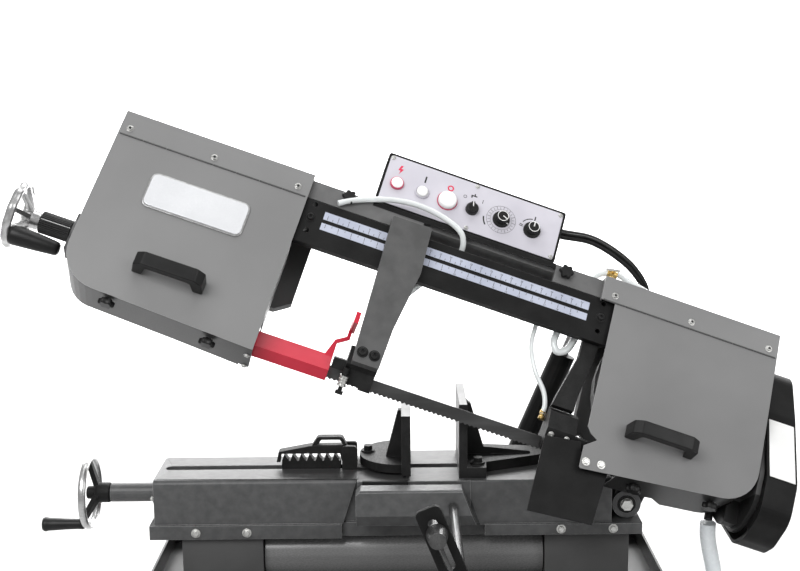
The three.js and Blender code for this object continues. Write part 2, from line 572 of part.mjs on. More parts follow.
// ---- blade and wheels ------------------------------------------------------------------------
function bladeStations() {
  const { radius, b, idlerA, driveA, mid } = WHEEL;
  const run = radius + 0.6 + BLADE.thickness / 2;
  const cutB = BLADE.cutY * Math.cos(CANT_ANGLE) + BLADE.cutZ * Math.sin(CANT_ANGLE);
  const cutC = -BLADE.cutY * Math.sin(CANT_ANGLE) + BLADE.cutZ * Math.cos(CANT_ANGLE);
  const stations = [];
  const lower = (a, twist) => stations.push({
    a, b: THREE.MathUtils.lerp(b - run, cutB, twist), c: THREE.MathUtils.lerp(mid, cutC, twist),
    down: [0, -1], twist: twist * CANT_ANGLE });
  const ramps = 6;
  for (let i = 0; i <= ramps; i += 1) {
    lower(THREE.MathUtils.lerp(BLADE.twistFrom, BLADE.twistTo, i / ramps), THREE.MathUtils.smoothstep(i / ramps, 0, 1));
  }
  for (let i = 0; i <= ramps; i += 1) {
    lower(THREE.MathUtils.lerp(-640, -900, i / ramps), 1 - THREE.MathUtils.smoothstep(i / ramps, 0, 1));
  }
  const arc = (a, from, to, count) => {
    for (let i = 0; i <= count; i += 1) {
      const angle = from + ((to - from) * i) / count;
      stations.push({ a: a + run * Math.cos(angle), b: b + run * Math.sin(angle), c: mid,
        down: [Math.cos(angle), Math.sin(angle)], twist: 0 });
    }
  };
  arc(idlerA, -Math.PI / 2, -(3 * Math.PI) / 2, 24);
  arc(driveA, Math.PI / 2, -Math.PI / 2, 24);
  return stations;
}

// A closed band: at every station a thin rectangle, wide along c on the wheels and upright in the cut.
function blade() {
  const stations = bladeStations();
  const positions = [];
  const index = [];
  stations.forEach(({ a, b, c, down, twist }) => {
    const across = new THREE.Vector3(0, Math.sin(twist), Math.cos(twist));
    const outward = twist === 0
      ? new THREE.Vector3(down[0], down[1], 0)
      : new THREE.Vector3(0, -Math.cos(twist), Math.sin(twist));
    for (const [w, t] of [[-1, -1], [1, -1], [1, 1], [-1, 1]]) {
      const p = new THREE.Vector3(a, b, c)
        .addScaledVector(across, (w * BLADE.width) / 2)
        .addScaledVector(outward, (t * BLADE.thickness) / 2);
      positions.push(p.x, p.y, p.z);
    }
  });
  const count = stations.length;
  for (let s = 0; s < count; s += 1) {
    const next = (s + 1) % count;
    for (let k = 0; k < 4; k += 1) {
      const [p, q] = [s * 4 + k, s * 4 + ((k + 1) % 4)];
      const [r, t] = [next * 4 + k, next * 4 + ((k + 1) % 4)];
      index.push(p, t, q, p, r, t);
    }
  }
  const geometry = new THREE.BufferGeometry();
  geometry.setAttribute('position', new THREE.Float32BufferAttribute(positions, 3));
  geometry.setIndex(index);
  return solid(geometry);
}

function bandWheel(bore) {
  const { radius, flange, back, front } = WHEEL;
  const web = 47;
  const body = ring([[bore, 32], [28, 32], [28, web], [132, web], [132, back], [radius, back],
    [radius, front - 3], [flange, front - 3], [flange, front], [134, front], [132, web + 8], [28, web + 8],
    [28, 70], [bore, 70]], 32);
  const windows = [0, 1, 2, 3, 4].map((i) => {
    const angle = (i * 2 * Math.PI) / 5;
    return rod('z', 27, [80 * Math.cos(angle), 80 * Math.sin(angle)], 30, 70, 10);
  });
  return cut(body, ...windows);
}

const idlerWheel = () => moved(bandWheel(15 + GAP), WHEEL.idlerA, WHEEL.b, 0);

function driveWheel() {
  const shaft = rod('z', 15, [0, 0], -29, 74, 20);
  return moved(join(bandWheel(14), shaft), WHEEL.driveA, WHEEL.b, 0);
}

function idlerCarriage() {
  return join(
    block(-1000, -850, 147, 245.6, PLATE.front + GAP, 27),
    rod('z', 15, [WHEEL.idlerA, WHEEL.b], 26, 73, 20),
    rod('z', 22, [WHEEL.idlerA, WHEEL.b], 26, 32 - GAP, 20));
}

function tensionSleeve() {
  return cut(
    rod('x', 21, [TENSION.b, TENSION.c], -1190, -1130 - GAP, 22),
    rod('x', TENSION.screw + GAP, [TENSION.b, TENSION.c], -1200, -1120));
}

function tensionHandwheel() {
  const rim = ring([[54, -8], [62, -8], [65, 0], [62, 8], [54, 8], [56, 0]], 26).rotate([0, 90, 0]);
  const hub = rod('x', 15, [0, 0], 14, 42, 20);
  const spokes = [0, 1, 2, 3, 4].map((i) => {
    const arm = prism([[-4, 57], [4, 57], [36, 8], [20, 8]], 'y', -4, 4);
    return arm.rotate([i * 72 + 26, 0, 0]);
  });
  const screw = rod('x', TENSION.screw, [0, 0], 20, 232.6, 16);
  const pin = rod('x', 4.5, [GRIP_AT.b, GRIP_AT.c], -2, 60, 12);
  return moved(join(rim, hub, ...spokes, screw, pin), -1234, TENSION.b, TENSION.c);
}

function tensionGrip() {
  const body = turned([[0, 0], [17, 0], [19, 5], [18, 30], [13, 84], [11, 90], [0, 92]], 22);
  const hole = rod('z', 4.5 + GAP, [0, 0], -1, 54, 12);
  return moved(cut(body, hole).rotate([0, 90, 0]), -1225.4, TENSION.b + GRIP_AT.b, TENSION.c + GRIP_AT.c);
}

// ---- drive -----------------------------------------------------------------------------------
function gearbox() {
  const back = PLATE.back - GAP;
  const housing = prism([[2, 122, 14], [112, 122, 14], [112, 262, 14], [2, 262, 14]], 'z', back - 96, back, 3);
  const wormEnd = rod('x', 26, [150, -82], 108, 130, 20);
  const shaft = rod('x', 10, [150, -82], 129, 190, 16);
  return join(housing, wormEnd, shaft);
}

function motor() {
  const centre = [330, -104];
  const body = rod('x', 60, centre, -50, 150, 32);
  const fanCover = rod('x', 63, centre, -80, -49, 32);
  const foot = block(-20, 120, 300, 360, -60, PLATE.back - GAP);
  const shaft = rod('x', 11, centre, 149, 190, 16);
  const terminals = block(-40, 30, 375, 402, -130, -80);
  return join(body, fanCover, foot, shaft, terminals);
}

function beltCover() {
  const { left, right } = BELT_COVER;
  return cut(
    prism(beltEdge(1), 'x', left, right, 6),
    prism(beltEdge(0.965), 'x', left - 1, right - 3, 6));
}

function controlBox() {
  const { left, right, bottom, top, back, front, row } = PANEL;
  const body = prism([[left, bottom, 5], [right, bottom, 5], [right, top, 5], [left, top, 5]], 'z', back, front, 3);
  const feet = [[-600, -560], [-330, -290]].map(([a0, a1]) =>
    block(a0, a1, CHANNEL.top + GAP, bottom + 2, back + 8, front - 12));
  const wells = [[CONTROLS.start, 11], [CONTROLS.stop, 18]].map(([a, r]) =>
    rod('z', r + GAP, [a, row], front - 10, front + 1, 20));
  return cut(join(body, ...feet), ...wells);
}

function pushButton(a, radius, height) {
  const { front, row } = PANEL;
  return rod('z', radius, [a, row], front - 4, front + height, 24, radius * 0.92);
}

function dial(a, radius) {
  const { front, row } = PANEL;
  const body = turned([[0, 0], [radius, 0], [radius, 4], [radius * 0.82, 6], [radius * 0.78, 18], [0, 19]], 20);
  const pointer = block(-2.5, 2.5, -2, radius * 0.8, 17, 21);
  return moved(join(body, pointer), a, row, front + GAP);
}

function coolantSwitch() {
  const { front, row } = PANEL;
  const base = rod('z', 12, [0, 0], 0, 6, 22);
  const lever = prism([[-3.5, -11], [3.5, -11], [3.5, 11], [-3.5, 11]], 'z', 5, 16);
  return moved(join(base, lever), CONTROLS.coolant, row, front + GAP);
}

// ---- lift cylinder, drawn upright over its foot and then leaned ------------------------------
function onCylinder(body) {
  const degrees = THREE.MathUtils.radToDeg(CYLINDER.lean);
  return moved(body.rotate([0, degrees, 0]), CYLINDER.footX, CYLINDER.y, CYLINDER.footZ);
}

function cylinderBarrel() {
  const eye = rod('y', 15, [0, 0], -14, 14, 20);
  const tube = join(rod('z', 24, [0, 0], 12, CYLINDER.topAt, 22), rod('z', 27, [0, 0], 12, 34, 22));
  const pinHole = rod('y', 7 + GAP, [0, 0], -20, 30, 20);
  const rodHole = rod('z', 9 + GAP, [0, 0], 70, CYLINDER.topAt + 1, 20);
  return onCylinder(cut(join(eye, tube), pinHole, rodHole));
}

function cylinderRod() {
  return onCylinder(cut(
    join(rod('z', 9, [0, 0], 134, CYLINDER.eyeAt - 8, 20), rod('y', 12, [0, CYLINDER.eyeAt], -10, 10, 20)),
    rod('y', 6, [0, CYLINDER.eyeAt], -20, 20, 16)));
}

// ---- hoses and cables ------------------------------------------------------------------------
const COOLANT_LEFT = [[-684, 342, 108], [-670, 352, 108], [-646, 365, 108], [-618, 377, 107], [-591, 387, 106],
  [-560, 393, 106], [-532, 394, 106], [-505, 391, 106], [-481, 385, 106], [-460, 376, 107], [-446, 366, 106],
  [-438, 353, 97], [-436, 338, 83], [-440, 318, 76], [-458, 292, 71], [-482, 268, 70], [-502, 239, 71],
  [-518, 205, 77], [-530, 160, 84], [-540, 104, 84]];
const COOLANT_RIGHT = [[-250, 336, 50], [-254, 300, 56], [-259, 255, 60], [-258, 217, 60], [-240, 171, 60],
  [-214, 135, 60], [-206, 112, 58], [-206, 96, 54]];
const VALVE_LOOP = [[-206, 336, 56], [-208, 300, 58], [-216, 262, 60], [-218, 238, 60], [-208, 222, 60],
  [-192, 230, 60], [-182, 254, 60], [-178, 280, 60]];
const TOP_HOSE = [[-178, 379, 62], [-172, 398, 50], [-150, 424, 36], [-124, 436, 30], [-96, 432, 26], [-40, 424, 16],
  [20, 414, 0], [56, 400, -16], [70, 383, -26]];
const CABLES = [[-257, 474, 42], [-248, 474, 42], [-186, 496, 20], [-130, 496, 2], [-74, 488, -26], [-28, 466, -62],
  [-9.5, 427, -103.5], [-9, 403.6, -105]];
const DRAIN = [[569.8, 33.6, -104], [569.8, 34, -116], [571, 35, -134], [576, 37, -160], [583, 40, -190],
  [590, 44, -225], [594, 49, -262], [592, 54, -300], [580, 59, -335], [559, 63, -364], [530, 66, -386],
  [497, 68, -397], [464, 70, -400], [447, 70, -400], [431.2, 70, -400]];

// ---- assembly --------------------------------------------------------------------------------
put(bench, 'stand', stand(), BLACK_GLOSS);
put(bench, 'chip_tray', chipTray(), BLACK_GLOSS);
put(bench, 'bed', bed(), BED_PAINT);
put(bench, 'apron', apron(), BED_PAINT);
put(bench, 'vise_handwheel', viseHandwheel(), CHROME);
put(bench, 'vise_grip', viseGrip(), BLACK_PLASTIC);
put(bench, 'vise_rack', rackBlock(), CAST_IRON);
put(bench, 'rack_lever', rackLever(), CAST_IRON);
put(bench, 'jaw_carriage', jawCarriage(), CAST_IRON);
put(bench, 'movable_jaw', movableJaw(), CAST_IRON);
put(bench, 'fixed_jaw', fixedJaw(), CAST_IRON);
put(bench, 'stop_rod', rod('y', STOP.radius, [STOP.x, STOP.z], STOP.end, -64 - GAP, 20), STEEL);
put(bench, 'stop_collar', stopCollar(), BLACK_PAINT);
put(bench, 'stop_arm', stopArm(), BLACK_PAINT);
put(bench, 'stop_pin', stopPin(), STEEL);
put(bench, 'pivot_shaft', pivotShaft(), STEEL);
put(bench, 'cylinder_barrel', cylinderBarrel(), BLACK_PAINT);
put(bench, 'cylinder_rod', cylinderRod(), CHROME);
put(bench, 'drain_hose', hose(DRAIN, 15, 12, 28), CLEAR_HOSE);

put(cant, 'head_frame', headFrame(), BED_PAINT);
put(cant, 'left_hood', hood(LEFT_COVER.left, LEFT_COVER.right), COVER_PAINT);
put(cant, 'right_hood', hood(-161, RIGHT_COVER.right), COVER_PAINT);
put(cant, 'left_door', leftDoor(), COVER_PAINT);
put(cant, 'right_door', rightDoor(), COVER_PAINT);
put(cant, 'left_handle', pullHandle(-921, 92), BLACK_PLASTIC);
put(cant, 'right_handle', pullHandle(0, 92), BLACK_PLASTIC);
put(cant, 'latch_left_outer', latchKnob(-1007, underLeft(-1007), 96), BLACK_PLASTIC);
put(cant, 'latch_left_inner', latchKnob(-821, underLeft(-821), 89), BLACK_PLASTIC);
put(cant, 'latch_right_inner', latchKnob(-21, underRight(-21), 86), BLACK_PLASTIC);
put(cant, 'latch_right_outer', latchKnob(126, underRight(126), 79), BLACK_PLASTIC);
put(cant, 'guide_bar', guideBar(), BLACK_PAINT);
put(cant, 'guide_arm_left', leftArm(), CAST_IRON);
put(cant, 'guide_arm_right', rightArm(), CAST_IRON);
put(cant, 'blade_guard', bladeGuard(), RED_PAINT);
put(cant, 'chip_shield', chipShield(), BLACK_PAINT);
put(cant, 'blade', blade(), BLADE_STEEL);
put(cant, 'idler_wheel', idlerWheel(), CAST_IRON);
put(cant, 'drive_wheel', driveWheel(), CAST_IRON);
put(cant, 'idler_carriage', idlerCarriage(), CAST_IRON);
put(cant, 'tension_sleeve', tensionSleeve(), BLACK_PLASTIC);
put(cant, 'tension_handwheel', tensionHandwheel(), CHROME);
put(cant, 'tension_grip', tensionGrip(), BLACK_PLASTIC);
put(cant, 'gearbox', gearbox(), CAST_IRON);
put(cant, 'motor', motor(), BLACK_PAINT);
put(cant, 'belt_cover', beltCover(), BLACK_PAINT);
put(cant, 'control_box', controlBox(), BLACK_PAINT);
put(cant, 'start_button', pushButton(CONTROLS.start, 11, 9), WHITE_PLASTIC);
put(cant, 'stop_button', pushButton(CONTROLS.stop, 18, 12), WHITE_PLASTIC);
put(cant, 'coolant_switch', coolantSwitch(), BLACK_PLASTIC);
put(cant, 'speed_dial', dial(CONTROLS.speed, 17), BLACK_PLASTIC);
put(cant, 'feed_dial', dial(CONTROLS.feed, 17), BLACK_PLASTIC);
put(cant, 'coolant_hose_left', hose(COOLANT_LEFT, 5.5, 8, 42), CLEAR_HOSE);
put(cant, 'coolant_hose_right', hose(COOLANT_RIGHT, 4.5, 8, 22), CLEAR_HOSE);
put(cant, 'valve_loop_hose', hose(VALVE_LOOP, 7, 8, 18), CLEAR_HOSE);
put(cant, 'coolant_hose_top', hose(TOP_HOSE, 6, 8, 20), CLEAR_HOSE);
put(cant, 'motor_cables', hose(CABLES, 12, 10, 20), BLACK_PLASTIC);

const leftBlock = join(
  guideBlock(-578, -522, [[4, 118], [-35, 128.6], [-54.6, 100.2]]), rollerBracket(-578, -1));
const rightBlock = join(
  guideBlock(-200, -146, [[4, 128], [-18, 128], [-45, 104]]), rollerBracket(-146, 1));
put(tilt, 'guide_block_left', leftBlock, CAST_IRON);
put(tilt, 'guide_block_right', rightBlock, CAST_IRON);
put(tilt, 'guide_roller_left', roller(-592), STEEL);
put(tilt, 'guide_roller_right', roller(-132), STEEL);

export default saw;
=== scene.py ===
import json
import math
import bmesh
import bpy
from mathutils import Matrix, Vector


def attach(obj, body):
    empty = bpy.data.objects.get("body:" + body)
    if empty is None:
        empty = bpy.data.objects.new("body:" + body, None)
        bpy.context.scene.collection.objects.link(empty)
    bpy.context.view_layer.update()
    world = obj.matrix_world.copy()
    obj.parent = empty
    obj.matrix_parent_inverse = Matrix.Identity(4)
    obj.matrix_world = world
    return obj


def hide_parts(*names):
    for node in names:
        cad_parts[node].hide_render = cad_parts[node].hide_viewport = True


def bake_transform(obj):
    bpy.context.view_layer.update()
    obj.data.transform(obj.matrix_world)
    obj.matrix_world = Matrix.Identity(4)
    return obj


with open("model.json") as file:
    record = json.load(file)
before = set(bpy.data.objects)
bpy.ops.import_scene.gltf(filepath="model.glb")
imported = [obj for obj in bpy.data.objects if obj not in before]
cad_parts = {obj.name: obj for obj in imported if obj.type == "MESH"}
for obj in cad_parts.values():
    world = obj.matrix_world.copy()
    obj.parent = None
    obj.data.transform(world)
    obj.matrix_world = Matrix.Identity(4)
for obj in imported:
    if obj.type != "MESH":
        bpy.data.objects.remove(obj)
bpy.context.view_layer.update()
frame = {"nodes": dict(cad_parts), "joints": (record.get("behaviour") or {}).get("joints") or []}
scene = bpy.context.scene

# ---- the machine's own frames, in millimetres, carried into the row frame in metres ----
MM = 0.001
JOINTS = {j["name"]: j for j in frame["joints"]}
DRIVE_AT = Vector((31, 196, 50))
PIVOT_AT = Vector((410, 0, -54))
VISE_Y = 74
X_AXIS, REAR = Vector((1, 0, 0)), Vector((0, 1, 0))


def joint_axis(name):
    return Vector(JOINTS[name]["axis"]).normalized()


def joint_place(name):
    return Vector(JOINTS[name]["pos_m"])


def frame_of(x_axis, y_axis, z_axis, origin):
    """A matrix from millimetres along three axes to metres in the row frame."""
    columns = [x_axis * MM, y_axis * MM, z_axis * MM, origin]
    return Matrix([[c[i] for c in columns] for i in range(3)] + [[0, 0, 0, 1]])


ALONG = joint_axis("left_guide_slide")
OUT = joint_axis("blade_drive")
UP_SLOPE = OUT.cross(ALONG)
drive_offset = ALONG * DRIVE_AT.x + UP_SLOPE * DRIVE_AT.y + OUT * DRIVE_AT.z
HEAD_ORIGIN = joint_place("blade_drive") - drive_offset * MM
CANT = frame_of(ALONG, UP_SLOPE, OUT, HEAD_ORIGIN)
TILT = frame_of(ALONG, REAR, ALONG.cross(REAR), HEAD_ORIGIN)
BENCH_ORIGIN = Vector((joint_place("head_pivot").x - PIVOT_AT.x * MM,
        joint_place("vise_turn").y - VISE_Y * MM, joint_place("head_pivot").z - PIVOT_AT.z * MM))
BENCH = frame_of(X_AXIS, REAR, Vector((0, 0, 1)), BENCH_ORIGIN)


def box_of(points):
    return [Vector([pick(p[i] for p in points) for i in range(3)]) for pick in (min, max)]


def local_points(node, place):
    """A CAD node's vertices in one of the frames above, in millimetres."""
    back = place.inverted()
    return [back @ v.co for v in frame["nodes"][node].data.vertices]


def placed(name, data):
    """A new object for the data, linked to the scene."""
    made = bpy.data.objects.new(name, data)
    scene.collection.objects.link(made)
    return made


def turns(count):
    """Angles of the points that divide a full turn."""
    return [2 * math.pi * k / count for k in range(count)]


# ---- camera ----
CAMERA_AT = (0, -2151, 753)
CAMERA_PITCH = math.radians(10.3)
CAMERA_ROLL = math.radians(-0.57)

camera_data = bpy.data.cameras.new("camera")
camera_data.sensor_width = 36
camera_data.lens = 55
camera_data.shift_x = -0.00375
camera = placed("camera", camera_data)
camera.matrix_world = (Matrix.Translation(BENCH @ Vector(CAMERA_AT))
    @ Matrix.Rotation(math.pi / 2 - CAMERA_PITCH, 4, "X") @ Matrix.Rotation(CAMERA_ROLL, 4, "Z"))
scene.camera = camera


# ---- node materials ----
class Shader:
    """A Principled material whose colour, roughness and relief come from noise in the piece's own space."""

    def __init__(self, name):
        self.material = bpy.data.materials.new(name)
        self.material.use_nodes = True
        self.tree = self.material.node_tree
        self.bsdf = self.tree.nodes["Principled BSDF"]
        self.place = self.node("ShaderNodeTexCoord").outputs["Object"]

    def node(self, kind, **values):
        made = self.tree.nodes.new(kind)
        for key, value in values.items():
            if key in made.inputs:
                made.inputs[key].default_value = value
            else:
                setattr(made, key, value)
        return made

    def link(self, source, target):
        self.tree.links.new(source, target)

    def noise(self, scale, stretch=(1, 1, 1), detail=4):
        mapping = self.node("ShaderNodeMapping")
        mapping.inputs["Scale"].default_value = stretch
        self.link(self.place, mapping.inputs["Vector"])
        noise = self.node("ShaderNodeTexNoise", Scale=scale, Detail=detail)
        self.link(mapping.outputs["Vector"], noise.inputs["Vector"])
        return noise.outputs["Fac"]

    def ramp(self, fac, stops):
        ramp = self.node("ShaderNodeValToRGB")
        elements = ramp.color_ramp.elements
        while len(elements) < len(stops):
            elements.new(0.5)
        for element, (position, colour) in zip(elements, stops):
            element.position = position
            element.color = (*colour, 1)
        self.link(fac, ramp.inputs["Fac"])
        return ramp.outputs["Color"]

    def spread(self, fac, low, high):
        """The middle of a noise's range, spread between two values."""
        out = self.node("ShaderNodeMapRange", **{"From Min": 0.3, "From Max": 0.7, "To Min": low,
                "To Max": high})
        self.link(fac, out.inputs["Value"])
        return out.outputs["Result"]

    def bevel_normal(self, radius):
        bevel = self.node("ShaderNodeBevel", samples=4, Radius=radius)
        return bevel.outputs["Normal"]

    def blended(self, factor, colour, other):
        """The colour, or another plain one where the factor is 1."""
        mix = self.node("ShaderNodeMix", data_type="RGBA", B=(*other, 1))
        self.link(factor, mix.inputs["Factor"])
        self.link(colour, mix.inputs["A"])
        return mix.outputs["Result"]

    def relief(self, fac, strength, edge):
        """Bump over a normal that is rounded at edges by a bevel of that radius."""
        bump = self.node("ShaderNodeBump", Strength=strength, Distance=RELIEF_DEPTH)
        self.link(fac, bump.inputs["Height"])
        if edge:
            self.link(self.bevel_normal(edge), bump.inputs["Normal"])
        self.link(bump.outputs["Normal"], self.bsdf.inputs["Normal"])

    def worn(self, colour, edge_colour, radius, low, high):
        """The colour, painted brighter along edges: partly scuffed paint, partly painted highlight where the
        edges catch the light.
        """
        geometry = self.node("ShaderNodeNewGeometry")
        dot = self.node("ShaderNodeVectorMath", operation="DOT_PRODUCT")
        self.link(self.bevel_normal(radius), dot.inputs[0])
        self.link(geometry.outputs["Normal"], dot.inputs[1])
        edge = self.node("ShaderNodeMapRange", **{"From Min": high, "From Max": low})
        self.link(dot.outputs["Value"], edge.inputs["Value"])
        return self.blended(edge.outputs["Result"], colour, edge_colour)

    def grey_below(self, colour, direction, below, value):
        """The colour, or plain grey where the place along a direction, in mm from HEAD_ORIGIN, is too low."""
        dot = self.node("ShaderNodeVectorMath", operation="DOT_PRODUCT")
        self.link(self.place, dot.inputs[0])
        dot.inputs[1].default_value = direction
        step = self.node("ShaderNodeMath", operation="LESS_THAN")
        self.link(dot.outputs["Value"], step.inputs[0])
        step.inputs[1].default_value = below * MM + direction.dot(HEAD_ORIGIN)
        return self.blended(step.outputs["Value"], colour, grey(value))


def grey(value, tint=0.0):
    return (value * (1 - tint), value, value * (1 + tint))


def as_colour(tone):
    return tone if isinstance(tone, tuple) else grey(tone)


DOOR_SEAM = 107.4  # the covers' side walls are painted darker up to here, as painted shade, and black from here up to the edge of the face, as a seam line
DOOR_FACE = 110.8
TRAY_INSIDE = 417  # from the bed's middle to the chip tray's end walls
RELIEF_DEPTH = 0.0004
# edges painted lighter, partly as scuffed paint and partly as painted highlight: the bevel radius, and where
# the lightening starts and is full
EDGE_SCUFF_AND_HIGHLIGHT_RADIUS = 0.0016
EDGE_SCUFF_AND_HIGHLIGHT_FROM, EDGE_SCUFF_AND_HIGHLIGHT_FULL = 0.97, 0.86


def surface(name, tones, rough, metal=0.0, scale=9, grain=400, bump=0.1, edge=0.0012, stretch=(1, 1, 1),
        scuff_and_highlight=None, coat=0.0, specular=0.5, layers=(), **sockets):
    """tones: two colours or greys; rough: two roughness values; grain: the relief's noise scale per metre;
    scuff_and_highlight: the colour of edges, partly scuffed paint and partly painted highlight; layers:
    (direction, below, grey), see Shader.grey_below."""
    shader = Shader(name)
    tones = [as_colour(tone) for tone in tones]
    broad = shader.noise(scale, stretch)
    fine = shader.noise(grain, stretch, 3)
    middle = tuple((a + b) / 2 for a, b in zip(*tones))
    colour = shader.ramp(broad, [(0.35, tones[0]), (0.5, middle), (0.65, tones[1])])
    if scuff_and_highlight:
        colour = shader.worn(colour, as_colour(scuff_and_highlight), EDGE_SCUFF_AND_HIGHLIGHT_RADIUS, EDGE_SCUFF_AND_HIGHLIGHT_FULL, EDGE_SCUFF_AND_HIGHLIGHT_FROM)
    for direction, below, value in layers:
        colour = shader.grey_below(colour, direction, below, value)
    shader.link(colour, shader.bsdf.inputs["Base Color"])
    shader.link(shader.spread(fine, *rough), shader.bsdf.inputs["Roughness"])
    shader.bsdf.inputs["Metallic"].default_value = metal
    shader.bsdf.inputs["Coat Weight"].default_value = coat
    shader.bsdf.inputs["Coat Roughness"].default_value = 0.2
    shader.bsdf.inputs["Specular IOR Level"].default_value = specular
    for key, value in sockets.items():
        shader.bsdf.inputs[key.replace("_", " ")].default_value = value
    shader.relief(fine, bump, edge)
    return shader.material


